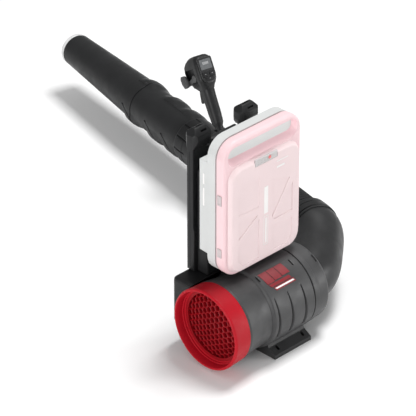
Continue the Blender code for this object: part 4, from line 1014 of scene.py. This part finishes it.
def display_and_keys():
    """Raised face plate, glass with a plain gauge on it, and three caps."""
    def layer(name, outline, low, high):
        return slab(name, outline, low, high, HEAD_PLACE @ FACING)

    face = layer("face_plate_fine", face_outline(), 0.0222, 0.0266)
    rounded_off(face, 0.0011, 3)
    window_place = (0, 0.0458)
    carve(face, layer("glass_seat", rounded_outline(0.0290, 0.0230, 0.002, window_place, 5),
            0.0255, 0.05))
    for key, x, z, half, tall in KEY_PLACES:
        seat = rounded_outline(2 * half + 0.0008, 2 * tall + 0.0008, 0.0014, (x, z), 4)
        carve(face, layer(key + "_seat", seat, 0.0228, 0.05))
    settle(face, GLOSS, "handle", ["display_frame"])
    glass = layer("display_glass", rounded_outline(0.0286, 0.0226, 0.0018, window_place, 5),
            0.0254, 0.0262)
    rounded_off(glass, 0.0002, 1)
    settle(glass, SCREEN, "handle", ["display_window"])
    for number in range(5):
        x = -0.0060 + number * 0.0030
        outline = rounded_outline(0.0022, 0.0060, 0.0005, (x, 0.0480), 3)
        settle(layer(f"gauge_bar_{number}", outline, 0.0261, 0.0264), GAUGE, "handle")
    for key, x, z, half, tall in KEY_PLACES:
        outline = rounded_outline(2 * half, 2 * tall, 0.0012, (x, z), 5)
        cap = rounded_off(layer(key + "_fine", outline, 0.0244, 0.0282), 0.0007, 3)
        settle(cap, CHARCOAL, key, [key])
        dot = rounded_outline(0.0028, 0.0010, 0.0004, (x, z), 4)
        settle(layer(key + "_mark", dot, 0.0280, 0.0284), GAUGE, key)


def cruise_lever():
    """Speed-holding lever: a round boss, an arm and a ribbed thumb pad behind the head's side."""
    place = (HEAD_PLACE @ Matrix.Translation((-0.019, 0.002, 0.0215))
             @ Matrix.Rotation(radians(-15), 4, "X"))
    across = Matrix.Rotation(radians(90), 4, "Y")
    boss = slab("cruise_lever_fine", circle(0.0080), -0.0040, 0.0040, across)
    carve(boss, brick("arm", (-0.0038, 0.002, -0.0045), (0.0038, 0.0330, 0.0045)), "UNION")
    pad = slab("pad", [(0.0230, -0.0035), (0.0300, -0.0065), (0.0400, -0.0055), (0.0445, 0.0055),
            (0.0430, 0.0175), (0.0360, 0.0230), (0.0270, 0.0195), (0.0225, 0.0075)],
               -0.0130, -0.0045, POST_VIEW)
    rounded_off(pad, 0.0016, 2, 40)
    for number in range(6):
        height = -0.0023 + number * 0.0036
        carve(pad, brick("rib", (-0.03, 0.0, height), (-0.0118, 0.08, height + 0.0015)))
    carve(boss, pad, "UNION")
    carve(boss, brick("arm_joint", (-0.0060, 0.0245, -0.0020), (0.0005, 0.0322, 0.0040)), "UNION")
    boss.data.transform(place)
    return settle(boss, WORN, "cruise", ["cruise_lever"], 35)


def trigger():
    """Finger lever, broad and rounded, in the grip's throat."""
    place = HEAD_PLACE @ Matrix.Translation((0, 0.0095, -0.0100)) @ POST_VIEW
    outline = [(-0.0035, 0.0050), (0.0110, 0.0060), (0.0180, 0.0035), (0.0215, -0.0060),
               (0.0245, -0.0170), (0.0262, -0.0235), (0.0225, -0.0262), (0.0100, -0.0250),
               (0.0075, -0.0180), (0.0075, -0.0080), (-0.0035, -0.0050)]
    lever = slab("trigger_fine", outline, -0.0056, 0.0056)
    rounded_off(lever, 0.0018, 3, 20)
    lever.data.transform(place)
    return settle(lever, CHARCOAL, "trigger", ["trigger"], 38)


# ---- floor, light and camera
def studio():
    """A pale floor out of sight, an even sky, a soft top light and a low light on each side."""
    shape = bmesh.new()
    bmesh.ops.create_grid(shape, x_segments=8, y_segments=8, size=12.0)
    mesh = bpy.data.meshes.new("studio_floor")
    shape.to_mesh(mesh)
    shape.free()
    floor_sheet = in_scene("studio_floor", mesh)
    n = Nodes("floor_paint")
    n.feed(n.shader, "Base Color", n.blend(n.noise(3.0), (0.93, 0.93, 0.93, 1), (0.95, 0.95, 0.95, 1)))
    n.shader.inputs["Roughness"].default_value = 0.85
    mesh.materials.append(n.material)
    world = bpy.data.worlds.new("pale_sky")
    world.use_nodes = True
    world.node_tree.nodes["Background"].inputs["Color"].default_value = (1, 1, 1, 1)
    world.node_tree.nodes["Background"].inputs["Strength"].default_value = 0.42
    bpy.context.scene.world = world
    for name, place, aim, size, power in (
            ("top_light", (1.1, 0.1, 4.0), (0.1, 0.3, 0), 1.2, 124.0),
            ("left_light", (-3.4, -0.6, 0.7), (0, 0.2, 0.2), 1.4, 66.0),
            ("right_light", (2.4, -2.8, 0.6), (0, 0, 0.2), 1.4, 52.0)):
        lamp = bpy.data.lights.new(name, "AREA")
        lamp.size = size
        lamp.energy = power
        holder = in_scene(name, lamp)
        holder.location = place
        holder.rotation_euler = (Vector(aim) - Vector(place)).to_track_quat("-Z", "Y").to_euler()
    settings = bpy.context.scene.view_settings
    settings.view_transform = "Standard"
    settings.look = "None"


def camera():
    """Looks down on the machine from behind its left side, far away through a long lens."""
    lens = bpy.data.cameras.new("camera")
    lens.sensor_width = 36.0
    lens.lens = 285.6
    lens.clip_end = 50.0
    holder = in_scene("camera", lens)
    holder.location = (-4.1032, -3.9376, 3.7516)
    holder.rotation_euler = (radians(58.8), 0, radians(-45))
    bpy.context.scene.camera = holder


# ---- build
intake_ring()
intake_guard()
inlet_duct()
fan_housing()
clamp_collar()
badge()
elbow()
elbow_cuff()
hose()
hose_collar()
swivel_sleeve()
tube_main()
nozzle()
battery_cover()
printed_marks()
battery_clips()
battery_indicator()
frame_post("frame_post_left")
frame_post("frame_post_right")
frame_crossbar()
handle_stalk()
control_head()
display_and_keys()
cruise_lever()
trigger()
studio()
camera()
